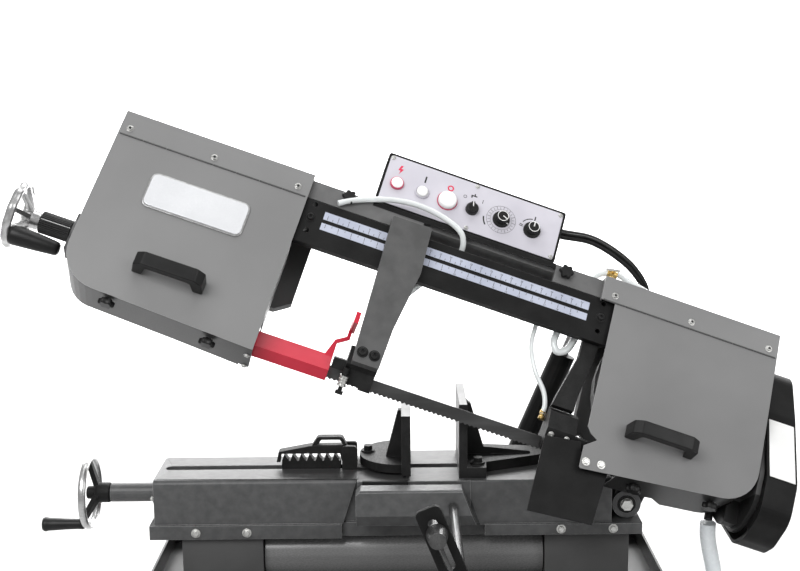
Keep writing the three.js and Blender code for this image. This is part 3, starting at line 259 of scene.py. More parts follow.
MATERIALS = {
    # the cover's side walls get a darker grey below DOOR_SEAM along OUT, as painted shade; between DOOR_SEAM
    # and DOOR_FACE runs a black seam line
    "cover": surface("cover_enamel", (0.200, 0.228), (0.36, 0.48), 0.2, 3.5, 900, 0.05, scuff_and_highlight=0.36, coat=0.1,
        layers=[(OUT, DOOR_FACE, 0.01), (OUT, DOOR_SEAM, 0.05)]),
    # a darker copy of the cover enamel for the right cover, as painted shade, with its side walls painted
    # darker still as painted shade
    "cover_shaded_right": surface("cover_enamel_painted_shade_right", (0.180, 0.215), (0.36, 0.48), 0.05, 3.0, 900, 0.05,
        scuff_and_highlight=0.32, layers=[(OUT, DOOR_FACE, 0.01), (OUT, DOOR_SEAM, 0.026)], specular=0.22),
    "hood": surface("hood_enamel", (0.205, 0.232), (0.36, 0.48), 0.2, 3.5, 900, 0.05, scuff_and_highlight=0.4, coat=0.1),
    # the bed's light edges stand partly for the highlight strips along them, a painted highlight
    "bed": surface("hammered_enamel", (grey(0.072, 0.01), grey(0.096, 0.01)), (0.40, 0.58), 0.15, 60, 330,
        0.35, scuff_and_highlight=0.34, coat=0.05),
    # the head frame is painted darker below 337 mm up the slope, and darker still below 60 mm, as painted
    # shade under the covers
    "frame": surface("frame_enamel", (0.120, 0.145), (0.42, 0.58), 0.1, 30, 500, 0.2, scuff_and_highlight=0.26,
        layers=[(UP_SLOPE, 337, 0.085), (UP_SLOPE, 60, 0.02)], specular=0.3),
    "ground": surface("ground_iron", (0.050, 0.078), (0.42, 0.54), 0.3, 14, 500, 0.12, stretch=(0.15, 1, 1)),
    "black": surface("black_enamel", (0.006, 0.011), (0.42, 0.56), 0, 20, 800, 0.12, scuff_and_highlight=0.035,
        specular=0.16),
    "gloss": surface("stand_enamel", (0.085, 0.105), (0.3, 0.42), 0, 8, 700, 0.05, scuff_and_highlight=0.14, specular=0.3),
    "plate": surface("machined_plate", (0.12, 0.16), (0.42, 0.52), 0.1, 25, 600, 0.1),
    "tray_pan": surface("tray_pan_enamel", (0.085, 0.105), (0.3, 0.42), 0, 8, 700, 0.05, scuff_and_highlight=0.14,
        layers=[(X_AXIS, -PIVOT_AT.x - TRAY_INSIDE, 0.02), (-X_AXIS, PIVOT_AT.x - TRAY_INSIDE, 0.02)],
        specular=0.2),
    # the pan is dark and shiny: this light grey, in streaks along its length, is a painted reflection
    "tray": surface("tray_painted_reflection", (0.17, 0.22), (0.24, 0.30), 0.1, 5, 700, 0.02, stretch=(0.3, 1, 1),
        scuff_and_highlight=0.26, coat=0.4),
    "cast": surface("black_casting", (0.007, 0.014), (0.46, 0.7), 0, 40, 420, 0.4, scuff_and_highlight=0.04, specular=0.24),
    "arm": surface("grey_casting", (0.062, 0.088), (0.42, 0.58), 0.1, 25, 600, 0.3, scuff_and_highlight=0.15),
    "red": surface("guard_red", ((0.50, 0.010, 0.032), (0.56, 0.016, 0.042)), (0.30, 0.40), 0, 12, 700, 0.06,
        scuff_and_highlight=(0.75, 0.06, 0.09), coat=0.15, specular=0.4),
    "steel": surface("turned_steel", (0.42, 0.58), (0.24, 0.38), 0.95, 60, 900, 0.1, stretch=(1, 1, 4)),
    "zinc": surface("zinc_plate", ((0.56, 0.56, 0.54), (0.72, 0.72, 0.70)), (0.22, 0.36), 0.95, 120, 1200,
        0.1),
    "chrome": surface("polished_chrome", (0.48, 0.62), (0.22, 0.32), 0.9, 30, 1500, 0.04),
    "dark_steel": surface("oiled_steel", (0.07, 0.11), (0.24, 0.36), 0.7, 50, 900, 0.1),
    "blade": surface("blued_blade", (0.055, 0.095), (0.34, 0.5), 0.6, 40, 600, 0.1, edge=0,
        stretch=(0.1, 1, 1)),
    "plastic": surface("black_moulding", (0.006, 0.011), (0.34, 0.46), 0, 30, 1400, 0.12, specular=0.3),
    "rubber": surface("cable_jacket", (0.008, 0.014), (0.42, 0.55), 0, 50, 900, 0.15, edge=0, specular=0.3),
    "panel": surface("panel_film", ((0.53, 0.515, 0.57), (0.59, 0.575, 0.63)), (0.4, 0.5), 0, 12, 1500, 0.05,
        edge=0.0006),
    "white": surface("white_moulding", ((0.93, 0.93, 0.92), (0.98, 0.98, 0.97)), (0.28, 0.36), 0, 20, 1500,
        0.04, coat=0.2),
    "rosy": surface("red_rim", ((0.55, 0.05, 0.12), (0.66, 0.08, 0.16)), (0.3, 0.4), 0, 20, 1500, 0.05),
    "scale": surface("scale_film", ((0.42, 0.45, 0.55), (0.50, 0.53, 0.63)), (0.3, 0.4), 0.1, 20, 1500, 0.04,
        edge=0.0004),
    "mark": surface("printed_black", (0.014, 0.02), (0.4, 0.5), 0, 40, 1500, 0.05, edge=0),
    "red_mark": surface("printed_red", ((0.62, 0.02, 0.07), (0.7, 0.03, 0.09)), (0.4, 0.5), 0, 40, 1500, 0.05,
        edge=0),
    "badge": surface("badge_plate", ((0.72, 0.73, 0.75), (0.80, 0.81, 0.83)), (0.2, 0.3), 0.2, 10, 1500, 0.04,
        coat=0.5),
    "label": surface("plain_label", ((0.84, 0.84, 0.83), (0.9, 0.9, 0.89)), (0.3, 0.4), 0, 15, 1500, 0.03),
    "brass": surface("brass", ((0.62, 0.42, 0.14), (0.74, 0.52, 0.2)), (0.2, 0.34), 1.0, 60, 900, 0.08),
    "hose": surface("clear_vinyl", ((0.80, 0.83, 0.83), (0.88, 0.91, 0.91)), (0.12, 0.24), 0, 25, 300, 0.06,
        edge=0, Transmission_Weight=0.2, IOR=1.45, coat=0.3),
    "milky": surface("milky_vinyl", ((0.76, 0.81, 0.83), (0.84, 0.88, 0.90)), (0.2, 0.32), 0, 12, 90, 0.03,
        edge=0, coat=0.2),
    "iron": surface("wheel_iron", (0.06, 0.1), (0.4, 0.6), 0.5, 30, 500, 0.3, scuff_and_highlight=0.3),
    "motor": surface("motor_enamel", (0.045, 0.065), (0.3, 0.45), 0.1, 20, 800, 0.1, scuff_and_highlight=0.12),
}


# ---- mesh building: every shape is (points, faces), in millimetres ----
def rounded(corners, steps=6):
    """Corner points as (u, v) or (u, v, radius); a radius rounds the corner with an arc."""
    points = []
    for i, corner in enumerate(corners):
        here = Vector(corner[:2])
        if len(corner) < 3 or not corner[2]:
            points.append(here)
            continue
        radius = corner[2]
        before = (Vector(corners[i - 1][:2]) - here).normalized()
        after = (Vector(corners[(i + 1) % len(corners)][:2]) - here).normalized()
        half = math.acos(max(-1, min(1, before.dot(after)))) / 2
        centre = here + (before + after).normalized() * radius / math.sin(half)
        start = here + before * radius / math.tan(half) - centre
        end = here + after * radius / math.tan(half) - centre
        first = math.atan2(start.y, start.x)
        sweep = math.atan2(end.y, end.x) - first
        sweep = math.atan2(math.sin(sweep), math.cos(sweep))
        for k in range(steps + 1):
            angle = first + sweep * k / steps
            points.append(centre + Vector((math.cos(angle), math.sin(angle))) * radius)
    return [tuple(p) for p in points]


def laid(axis, u, v, w):
    """(u, v) across and w along the named axis, as a point."""
    return {"x": (w, u, v), "y": (u, w, v), "z": (u, v, w)}[axis]


def loft(rings, loop=False):
    """Rings of points of one length, joined one to the next."""
    count = len(rings[0])
    points = [p for ring in rings for p in ring]
    faces = []
    spans = len(rings) if loop else len(rings) - 1
    for s in range(spans):
        base, following = s * count, (s + 1) % len(rings) * count
        for k in range(count):
            nxt = (k + 1) % count
            faces.append((base + k, base + nxt, following + nxt, following + k))
    if not loop:
        faces.append(tuple(reversed(range(count))))
        faces.append(tuple(range((len(rings) - 1) * count, len(rings) * count)))
    return points, faces


def prism(corners, axis, low, high):
    flat = rounded(corners)
    return loft([[laid(axis, u, v, w) for u, v in flat] for w in (low, high)])


def box(x0, x1, y0, y1, z0, z1, radius=0):
    return prism([(x0, y0, radius), (x1, y0, radius), (x1, y1, radius), (x0, y1, radius)], "z", z0, z1)


def polar(axis, centre, radius, angle, station):
    return laid(axis, centre[0] + radius * math.cos(angle), centre[1] + radius * math.sin(angle), station)


LOBED_FROM = 3  # the radius in mm from which a lobed outline is scalloped


def lathe(axis, centre, profile, sides=40, lobes=0, depth=0.0):
    """Turned about an axis through centre from (radius, station); lobes scallop the outline by depth."""
    rings = []
    for radius, station in profile:
        ring = []
        for angle in turns(sides):
            r = radius + depth * math.cos(lobes * angle) * (radius > LOBED_FROM)
            ring.append(polar(axis, centre, r, angle, station))
        rings.append(ring)
    return loft(rings)


def rod(axis, radius, centre, low, high, sides=24):
    return lathe(axis, centre, [(radius, low), (radius, high)], sides)


def hoop(axis, centre, section, sides=64, lobes=0, depth=0.0):
    """A ring whose section is a closed outline of (radius, station)."""
    rings = []
    for angle in turns(sides):
        grow = depth * math.cos(lobes * angle)
        rings.append([polar(axis, centre, r + grow, angle, w) for r, w in section])
    return loft(rings, loop=True)


def merged(*shapes):
    points, faces = [], []
    for some_points, some_faces in shapes:
        offset = len(points)
        points += some_points
        faces += [tuple(i + offset for i in face) for face in some_faces]
    return points, faces


def changed(shape, matrix):
    return [tuple(matrix @ Vector(p)) for p in shape[0]], shape[1]


def shifted(shape, x, y, z):
    return changed(shape, Matrix.Translation((x, y, z)))


PATH_STEPS = 8


def smooth_path(points):
    """A centripetal Catmull-Rom curve through the points."""
    points = [Vector(p) for p in points]
    padded = [points[0] * 2 - points[1], *points, points[-1] * 2 - points[-2]]
    path = []
    for i in range(1, len(padded) - 2):
        p0, p1, p2, p3 = padded[i - 1:i + 3]
        t1 = max((p1 - p0).length, 1e-6) ** 0.5
        t2 = t1 + max((p2 - p1).length, 1e-6) ** 0.5
        t3 = t2 + max((p3 - p2).length, 1e-6) ** 0.5
        for k in range(PATH_STEPS):
            t = t1 + (t2 - t1) * k / PATH_STEPS
            a1 = p0 * ((t1 - t) / t1) + p1 * (t / t1)
            a2 = p1 * ((t2 - t) / (t2 - t1)) + p2 * ((t - t1) / (t2 - t1))
            a3 = p2 * ((t3 - t) / (t3 - t2)) + p3 * ((t - t2) / (t3 - t2))
            b1 = a1 * ((t2 - t) / t2) + a2 * (t / t2)
            b2 = a2 * ((t3 - t) / (t3 - t1)) + a3 * ((t - t1) / (t3 - t1))
            path.append(b1 * ((t2 - t) / (t2 - t1)) + b2 * ((t - t1) / (t2 - t1)))
    return path + [padded[-2]]


def face_outwards(mesh):
    work = bmesh.new()
    work.from_mesh(mesh)
    bmesh.ops.recalc_face_normals(work, faces=work.faces)
    work.to_mesh(mesh)
    work.free()


def declare(made, body, stands_for):
    """Rides an object on a body and hides the CAD node it stands for."""
    if body:
        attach(made, body)
    if stands_for:
        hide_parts(stands_for)


def piece(name, shape, material, body="head", place=CANT, bevel=0.0, segments=3, angle=38, stands_for=None):
    """A shape, or a list of shapes, as one named piece; with body None it rides on no body."""
    if isinstance(shape, list):
        shape = merged(*shape)
    mesh = bpy.data.meshes.new(name)
    mesh.from_pydata(shape[0], [], shape[1])
    mesh.transform(place)
    mesh.materials.append(MATERIALS[material])
    mesh.validate()
    face_outwards(mesh)
    mesh.shade_smooth()
    mesh.set_sharp_from_angle(angle=math.radians(angle))
    made = placed(name, mesh)
    if bevel:
        modifier = made.modifiers.new("edges", "BEVEL")
        modifier.width = bevel * MM
        modifier.segments = segments
        modifier.limit_method = "ANGLE"
        modifier.angle_limit = math.radians(28)
        modifier.harden_normals = True
    declare(made, body, stands_for)
    return made


def flexible(name, points, radius, material, stands_for=None, body="head"):
    """A hose or cable along a smooth path in the CANT frame."""
    path = [CANT @ p for p in smooth_path(points)]
    data = bpy.data.curves.new(name, "CURVE")
    data.dimensions = "3D"
    spline = data.splines.new("POLY")
    spline.points.add(len(path) - 1)
    for point, at in zip(spline.points, path):
        point.co = (*at, 1)
    spline.use_smooth = True
    data.bevel_depth = radius * MM
    data.bevel_resolution = 5
    data.use_fill_caps = True
    data.materials.append(MATERIALS[material])
    made = placed(name, data)
    declare(made, body, stands_for)


# ---- hoses and cables ----
COOLANT_LEFT = [(-684, 342, 108), (-670, 352, 108), (-646, 365, 108), (-618, 377, 107), (-591, 387, 106),
    (-560, 393, 106), (-532, 394, 106), (-505, 391, 106), (-481, 385, 106), (-460, 376, 107),
    (-446, 366, 106), (-438, 353, 97), (-436, 338, 83), (-440, 318, 76), (-458, 292, 71), (-482, 268, 70),
    (-502, 239, 71), (-518, 205, 77), (-530, 160, 84), (-540, 104, 84)]
COOLANT_RIGHT = [(-250, 336, 50), (-254, 300, 56), (-259, 255, 60), (-258, 217, 60), (-240, 171, 60),
    (-214, 135, 60), (-206, 112, 58), (-206, 96, 54)]
VALVE_LOOP = [(-206, 336, 56), (-208, 300, 58), (-216, 262, 60), (-218, 238, 60), (-208, 222, 60),
    (-192, 230, 60), (-182, 254, 60), (-178, 280, 60)]
TOP_HOSE = [(-178, 379, 62), (-172, 398, 50), (-150, 424, 36), (-124, 436, 30), (-96, 432, 26),
    (-40, 424, 16), (20, 414, 0), (56, 400, -16), (70, 383, -26)]
CABLES = [(-257, 474, 42), (-248, 474, 42), (-186, 496, 20), (-130, 496, 2), (-74, 488, -26), (-28, 466, -62),
    (-9.5, 427, -103.5), (-9, 403.6, -105)]
DRAIN = [(569.8, 33.6, -104), (569.8, 34, -116), (571, 35, -134), (576, 37, -160), (583, 40, -190),
    (590, 44, -225), (594, 49, -262), (592, 54, -300), (580, 59, -335), (559, 63, -364), (530, 66, -386),
    (497, 68, -397), (464, 70, -400), (447, 70, -400), (431.2, 70, -400)]

flexible("hose_coolant_left", COOLANT_LEFT, 5.5, "hose", "coolant_hose_left", "left_guide")
flexible("hose_coolant_right", COOLANT_RIGHT, 4.5, "hose", "coolant_hose_right")
flexible("hose_valve_loop", VALVE_LOOP, 7, "hose", "valve_loop_hose")
flexible("hose_top", TOP_HOSE, 6, "hose", "coolant_hose_top")


def tube(path, radius):
    """Rings of a round tube along a path, in the path's own units."""
    side = REAR
    rings = []
    for i, at in enumerate(path):
        along = (path[min(i + 1, len(path) - 1)] - path[max(i - 1, 0)]).normalized()
        side = (side - along * side.dot(along)).normalized()
        other = along.cross(side)
        rings.append([tuple(at + (side * math.cos(t) + other * math.sin(t)) * radius) for t in turns(20)])
    return loft(rings)


DRAIN_RADIUS = 15
drain_path = smooth_path(DRAIN)
drain = piece("hose_drain", tube(drain_path, DRAIN_RADIUS), "milky", None, BENCH, stands_for="drain_hose")
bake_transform(drain)


def beside(points, up, out):
    return [(a, b + up, c + out) for a, b, c in points]


flexible("cable_power_upper", beside(CABLES, 5.2, 1), 5.6, "rubber", "motor_cables")
flexible("cable_power_lower", beside(CABLES, -6, 1), 5.0, "rubber")
flexible("cable_signal", beside(CABLES, -1, 7.6), 2.6, "rubber")

# ---- finishes of the CAD pieces ----
FINISHES = {
    "cover": ["left_door"],
    # the right cover takes the darker copy of the cover enamel, a painted shade
    "cover_shaded_right": ["right_door"],
    "hood": ["left_hood", "right_hood"],
    "bed": ["bed", "apron"],
    "frame": ["head_frame"],
    "gloss": ["stand"],
    "tray_pan": ["chip_tray"],
    "black": ["guide_bar", "control_box", "chip_shield", "belt_cover", "cylinder_barrel", "stop_collar",
        "stop_arm"],
    "cast": ["guide_arm_right", "guide_block_left", "guide_block_right", "gearbox", "rack_lever",
        "jaw_carriage", "movable_jaw", "fixed_jaw", "idler_carriage", "vise_rack"],
    "arm": ["guide_arm_left"],
    "iron": ["idler_wheel", "drive_wheel"],
    "motor": ["motor"],
    "red": ["blade_guard"],
    "steel": ["guide_roller_left", "guide_roller_right"],
    "dark_steel": ["stop_rod", "stop_pin"],
    "zinc": ["pivot_shaft"],
    "blade": ["blade"],
    "chrome": ["vise_handwheel", "tension_handwheel", "cylinder_rod"],
    "plastic": ["left_handle", "right_handle", "latch_left_outer", "latch_left_inner", "latch_right_inner",
        "latch_right_outer", "vise_grip", "tension_grip", "tension_sleeve", "coolant_switch", "speed_dial",
        "feed_dial"],
    "white": ["start_button", "stop_button"],
    "hose": ["coolant_hose_left", "coolant_hose_right", "valve_loop_hose", "coolant_hose_top", "drain_hose"],
    "rubber": ["motor_cables"],
}
for material, names in FINISHES.items():
    for name in names:
        mesh = frame["nodes"][name].data
        mesh.materials.clear()
        mesh.materials.append(MATERIALS[material])

# ---- fasteners ----
DOOR_FRONT = 113


def hex_head(axis, centre, face, toward, across=6.0, height=4.5):
    """A hexagon bolt head with a washer, standing from a face towards +1 or -1 along the axis."""
    washer = lathe(axis, centre, [(across * 1.35, face), (across * 1.35, face + toward * 1.1)], 28)
    head = lathe(axis, centre, [(across, face + toward), (across, face + toward * (height - 0.8)),
            (across * 0.86, face + toward * height)], 6)
    return merged(washer, head)


def socket_head(axis, centre, face, toward, radius=5.0, height=3.4):
    """A domed screw with a hexagon socket."""
    outer = [(radius * 1.3, face), (radius * 1.3, face + toward * 0.7), (radius, face + toward * 0.8),
        (radius, face + toward * height * 0.6), (radius * 0.82, face + toward * height),
        (radius * 0.46, face + toward * height), (radius * 0.42, face + toward * height * 0.45)]
    return lathe(axis, centre, outer, 24)


HOOD_SCREWS = [(-1088, 345.5), (-926, 345.5), (-764, 345.5), (-136, 345), (18, 345), (175, 345)]
piece("hood_screws", [socket_head("z", p, DOOR_FRONT, 1, 5.2, 3.6) for p in HOOD_SCREWS], "zinc")
# black discs over the screws' socket holes: painted shade in the recesses
piece("hood_socket_shade_discs", [rod("z", 2.9, p, DOOR_FRONT + 3.4, DOOR_FRONT + 3.8, 6) for p in HOOD_SCREWS], "mark")
piece("left_cover_screws", [socket_head("y", p, 13, -1, 4.4, 3.2) for p in [(-748.7, 77.9), (-749.7, 22)]],
    "zinc", "left_cover")
piece("right_cover_screws", [hex_head("z", p, DOOR_FRONT, 1, 5.6, 4) for p in [(-123, 13), (-95, 16)]],
    "zinc", "right_cover")

FLANGE_BOLTS = [(-388, -99.5, -6), (-293.6, -99.5, -6), (286.6, -93, -18), (382.5, -93, -18)]
piece("flange_bolts", [hex_head("y", (x, z), face, -1, 6.4, 5) for x, z, face in FLANGE_BOLTS], "zinc",
    "base", BENCH)

KNUCKLE_PITCH = 46


def knuckles(low, high):
    """A piano hinge's rolled knuckles along the lower edge of a hood."""
    count = round((high - low) / KNUCKLE_PITCH)
    step = (high - low) / count
    starts = [low + k * step for k in range(count)]
    return [rod("x", 1.7, (330.4, DOOR_FRONT + 0.1), at + 0.5, low + (k + 1) * step - 0.5, 14)
        for k, at in enumerate(starts)]


for name, hood in {"left_hood": "left_hinge", "right_hood": "right_hinge"}.items():
    low, high = box_of(local_points(name, CANT))
    piece(f"{hood}_knuckles", knuckles(low.x + 4, high.x - 4), "frame", angle=50)

# ---- hose fittings ----
piece("thin_hose_end", lathe("y", (-206, 54), [(3, 84), (6, 85), (6, 90), (4.4, 91), (4.4, 96), (5.6, 97),
        (4.9, 103)], 24), "brass")
piece("valve_body", [lathe("y", (-178, 60), [(4, 276), (7.6, 277), (7.6, 281), (6, 282), (6, 290), (8, 291),
        (8, 302), (6, 303), (6, 312), (7.6, 313), (7.6, 318), (4, 319)], 28),
        rod("z", 3, (-178, 297), 66, 76, 16)], "brass", bevel=0.5)
piece("valve_lever", [prism([(-190, 291, 2), (-166, 299, 2), (-164, 304, 2), (-189, 297, 2)], "z", 75, 78),
        rod("z", 4, (-178, 297), 74, 79.5, 6)], "zinc", bevel=0.6)
piece("tee_body", [rod("x", 8, (429, 34), -142, -122, 24), rod("y", 6.4, (-132, 33), 416, 428, 20),
        rod("z", 3.2, (-132, 430), 40, 50, 16)], "brass", bevel=0.6)
piece("tee_lever", prism([(-150, 426, 2), (-120, 432, 2), (-118, 437, 2), (-149, 431, 2)], "z", 48, 51),
    "zinc", bevel=0.6)

# ---- badge and label ----
piece("badge_rim", box(-1018, -830, 206, 277, DOOR_FRONT, DOOR_FRONT + 2.6, 14), "steel", "left_cover",
    bevel=1.0)
piece("badge_face", box(-1015, -833, 209.5, 274, DOOR_FRONT + 2.4, DOOR_FRONT + 4.2, 11), "badge",
    "left_cover", bevel=1.2)

BELT_EDGE = Vector((237, 78))
belt_slope = Vector((91, 126)) - BELT_EDGE
belt_normal = Vector((belt_slope.y, -belt_slope.x)).normalized()


def on_belt_face(share, lift):
    """A corner of the plate, from a share of the way up the belt cover's slope."""
    return tuple(BELT_EDGE + belt_slope * share + belt_normal * lift)


label_corners = [on_belt_face(*at) for at in [(0.12, 0.2), (0.98, 0.2), (0.98, 1.0), (0.12, 1.0)]]
piece("belt_cover_label", prism(label_corners, "x", 209, 259), "label", bevel=0.2)

# ---- guide bar: graduated strips and screws ----
BAR_FRONT = 103
FILM_FACE = BAR_FRONT + 0.22  # the left guide arm slides past 0.4 mm in front of the bar
PRINT = 0.1
STRIPS = {"upper": (303, 319), "lower": (281, 295.5)}
STRIP_ENDS = (-701, -178)
FIRST_MARK = -693
INCH = 25.4


def strip_marks():
    """Ten-millimetre marks above the slit and half-inch marks below it, every other one long."""
    marks = []
    for edge, pitch, toward in ((STRIPS["upper"][0] + 1, 10, 1), (STRIPS["lower"][1] - 1, INCH / 2, -1)):
        for k in range(int((STRIP_ENDS[1] - STRIP_ENDS[0] - 12) / pitch)):
            a = FIRST_MARK + k * pitch
            ends = sorted((edge, edge + toward * (8 if k % 2 == 0 else 4)))
            marks.append(box(a - 0.4, a + 0.4, *ends, FILM_FACE, FILM_FACE + PRINT))
    return marks


for name, (low, high) in STRIPS.items():
    piece(f"scale_{name}", box(*STRIP_ENDS, low, high, BAR_FRONT, FILM_FACE), "scale")
piece("scale_marks", strip_marks(), "mark")


def numerals(values, spacing, b):
    """Plain graduation numbers, as raised print."""
    shapes = []
    for value in values:
        data = bpy.data.curves.new("number", "FONT")
        data.body = str(value)
        data.size = 5
        data.extrude = PRINT / 2
        data.align_x = "CENTER"
        holder = placed("number", data)
        bpy.context.view_layer.update()
        mesh = holder.to_mesh()
        shape = [tuple(v.co) for v in mesh.vertices], [tuple(p.vertices) for p in mesh.polygons]
        shapes.append(shifted(shape, FIRST_MARK + value * spacing, b, FILM_FACE + PRINT / 2))
        holder.to_mesh_clear()
        bpy.data.objects.remove(holder)
    return shapes


piece("scale_numbers_upper", numerals(range(2, 51, 2), 10, 312.6), "mark")
piece("scale_numbers_lower", numerals(range(1, 20), INCH, 281.8), "mark")
piece("bar_screws", [socket_head("z", p, BAR_FRONT, 1, 7, 5) for p in [(-724, 299), (-152, 297)]], "plastic")
piece("arm_screws", [socket_head("z", p, 122, 1, 8, 5) for p in [(-558, 71), (-536, 71)]], "plastic",
    "left_guide")


# ---- guide details: nut and clamp screw on the left, stop screws on the right ----
def knurled(axis, centre, low, high, radius):
    """A turned nut with three grooves."""
    step = (high - low) / 7
    profile = [(radius * 0.6, low)]
    for k in range(7):
        r = radius if k % 2 == 0 else radius * 0.84
        profile += [(r, low + k * step + 0.3), (r, low + (k + 1) * step - 0.3)]
    return lathe(axis, centre, [*profile, (radius * 0.6, high)], 36)


NUT_AT = (-574, -52)
piece("guide_nut", knurled("z", NUT_AT, 56, 76, 8.5), "zinc", "left_guide", TILT, angle=30)
piece("guide_clamp_screw", [rod("z", 4, NUT_AT, 46, 56, 20), rod("z", 5.4, NUT_AT, 76, 90, 20),
        box(NUT_AT[0] - 7, NUT_AT[0] + 7, NUT_AT[1] - 2, NUT_AT[1] + 2, 40, 47)], "cast", "left_guide", TILT,
    bevel=0.6)
piece("guide_stop_screws", [socket_head("y", (x, z), -46, -1, 4.4, 4)
        for x, z in [(-190, 92), (-160, 92), (-175, 74)]], "zinc", place=TILT)


def lobed_knob(axis, centre, low, high, radius=12, lobes=6):
    toward = 1 if high > low else -1
    profile = [(radius * 0.5, low), (radius * 0.5, low + toward * 3), (radius * 0.92, low + toward * 3.6),
        (radius, low + toward * 5), (radius, high - toward * 2.5), (radius * 0.85, high)]
    return lathe(axis, centre, profile, 48, lobes, 1.6)


CHANNEL_FRONT = 100
PANEL = {"left": -622, "right": -258, "bottom": 386, "top": 500, "row": 438}
piece("frame_knobs", [lobed_knob("z", (a, 363), CHANNEL_FRONT, CHANNEL_FRONT + 12, 13) for a in (-668, -236)],
    "plastic")
piece("panel_skirt", box(PANEL["left"], PANEL["right"], 366, 375, CHANNEL_FRONT + 0.2, CHANNEL_FRONT + 1.6),
    "black", bevel=0.3)

# ---- wheel cover latches ----
LATCHES = {"latch_left_outer": "latch_lo", "latch_left_inner": "latch_li", "latch_right_inner": "latch_ri",
    "latch_right_outer": "latch_ro"}
for name, body in LATCHES.items():
    low, high = box_of(local_points(name, CANT))
    at = ((low.x + high.x) / 2, (low.z + high.z) / 2)
    piece(f"knob_{name}", lobed_knob("y", at, high.y, low.y, 13.2, 6), "plastic", body, stands_for=name)


# ---- pull handles ----
def pull_handle(a, b):
    """A moulded bow with splayed legs and a flat bar whose ends are chamfered."""
    front = DOOR_FRONT + 0.4
    outline = rounded([(-65, 0, 2), (-48, 0, 2), (-41, 31, 7), (41, 31, 7), (48, 0, 2), (65, 0, 2),
            (62, 36, 5), (48, 47, 8), (-48, 47, 8), (-62, 36, 5)], 5)
    rings = []
    for across, shrink in ((-12.8, 0.95), (-11.4, 1.0), (11.4, 1.0), (12.8, 0.95)):
        rings.append([(a + u * (1 - (1 - shrink) * 0.5), b + across, front + (v - 20) * shrink + 20)
                for u, v in outline])
    return loft([[(x, y, max(z, front)) for x, y, z in ring] for ring in rings])


for name, body in {"left_handle": "left_cover", "right_handle": "right_cover"}.items():
    low, high = box_of(local_points(name, CANT))
    piece(f"grip_{name}", pull_handle((low.x + high.x) / 2, (low.y + high.y) / 2), "plastic", body, bevel=1.6,
        angle=50, stands_for=name)

# ---- tension handwheel ----
TENSION_AT = (159, 5)
TENSION_RIM = -1234
GRIP_AT = (TENSION_AT[0] - 51, TENSION_AT[1] + 25)


def spoke(inner, outer, count, turn, width, thick, axis_centre):
    """Tapered bars from (radius, station) at the hub to (radius, station) at the rim."""
    shapes = []
    for share in turns(count):
        angle = turn + share
        radial, tangent = (math.cos(angle), math.sin(angle)), (-math.sin(angle), math.cos(angle))
        rings = []
        for (r, w), half in ((inner, width[0]), (outer, width[1])):
            ring = []
            for s, t in ((-1, -1), (1, -1), (1, 1), (-1, 1)):
                u = axis_centre[0] + radial[0] * r + tangent[0] * half * s
                v = axis_centre[1] + radial[1] * r + tangent[1] * half * s
                ring.append((w + t * thick, u, v))
            rings.append(ring)
        shapes.append(loft(rings))
    return merged(*shapes)


rim_section = rounded([(53.5, TENSION_RIM - 8, 2), (62, TENSION_RIM - 8, 4), (65, TENSION_RIM, 3),
        (62, TENSION_RIM + 8, 4), (53.5, TENSION_RIM + 8, 2), (56, TENSION_RIM, 3)], 3)
tension_hub = lathe("x", TENSION_AT, [(6, -1221), (16, -1220), (18, -1217), (18, -1196), (16, -1192),
        (16, -1190.8)])
piece("tension_wheel_rim", [hoop("x", TENSION_AT, rim_section, 96, 12, -1.1), tension_hub,
        spoke((12, -1207), (56, -1232), 9, math.radians(26), (5, 4), 4, TENSION_AT)], "chrome",
    "tension_wheel", bevel=0.8, segments=2, stands_for="tension_handwheel")
piece("tension_screw", [rod("x", 9, TENSION_AT, -1196, -1001, 28), rod("x", 4.5, GRIP_AT, -1236, -1174, 20)],
    "steel", "tension_wheel")
piece("tension_grip_cone", lathe("x", GRIP_AT, [(2, -1225.4), (15.5, -1225.2), (18, -1223), (19, -1218),
        (18.6, -1206), (16.4, -1176), (13.4, -1142), (12, -1136), (9, -1133.6), (5, -1133.4)]), "plastic",
    "tension_knob", angle=60, stands_for="tension_grip")

RIBS, RIB_DEPTH = 36, 0.9


def ribbed(axis, centre, radius, low, high):
    """A bar with straight ribs and chamfered ends."""
    rings = []
    for w, shrink in ((low, 1.6), (low + 1.6, 0), (high - 1.6, 0), (high, 1.6)):
        rings.append([polar(axis, centre, radius - shrink - (RIB_DEPTH if k % 4 in (0, 1) else 0), angle, w)
                for k, angle in enumerate(turns(RIBS * 4))])
    return loft(rings)


piece("tension_sleeve_ribs", ribbed("x", TENSION_AT, 21, -1190, -1130.4), "plastic", angle=20,
    stands_for="tension_sleeve")
piece("tension_sleeve_slit", box(-1188, -1132, TENSION_AT[0] - 3.4, TENSION_AT[0] - 1.8, TENSION_AT[1] + 19.8,
        TENSION_AT[1] + 20.9), "steel")
piece("tension_collar_screw", [rod("y", 6.4, (-1112, 12), 192, 197, 28),
        rod("y", 4.6, (-1112, 12), 196, 200, 28)], "chrome", bevel=0.6)
piece("tension_collar", lathe("x", TENSION_AT, [(22, -1130), (25, -1129), (26, -1127), (26, -1112),
        (25, -1110), (20, -1109)], 48), "arm", angle=50)

# ---- motor and gearbox ----
MOTOR_AT = (330, -104)
FIN_PITCH = 9
GEARBOX_BACK = -126.4
piece("motor_fins", [hoop("x", MOTOR_AT, [(59.5, at), (62.6, at + 0.6), (62.6, at + 2.4), (59.5, at + 3)], 48)
        for at in range(-42, 142, FIN_PITCH)], "motor")
piece("gearbox_bolts", [hex_head("z", at, GEARBOX_BACK, -1, 5, 4)
        for at in [(14, 134), (100, 134), (14, 250), (100, 250), (57, 130), (57, 254)]], "zinc")

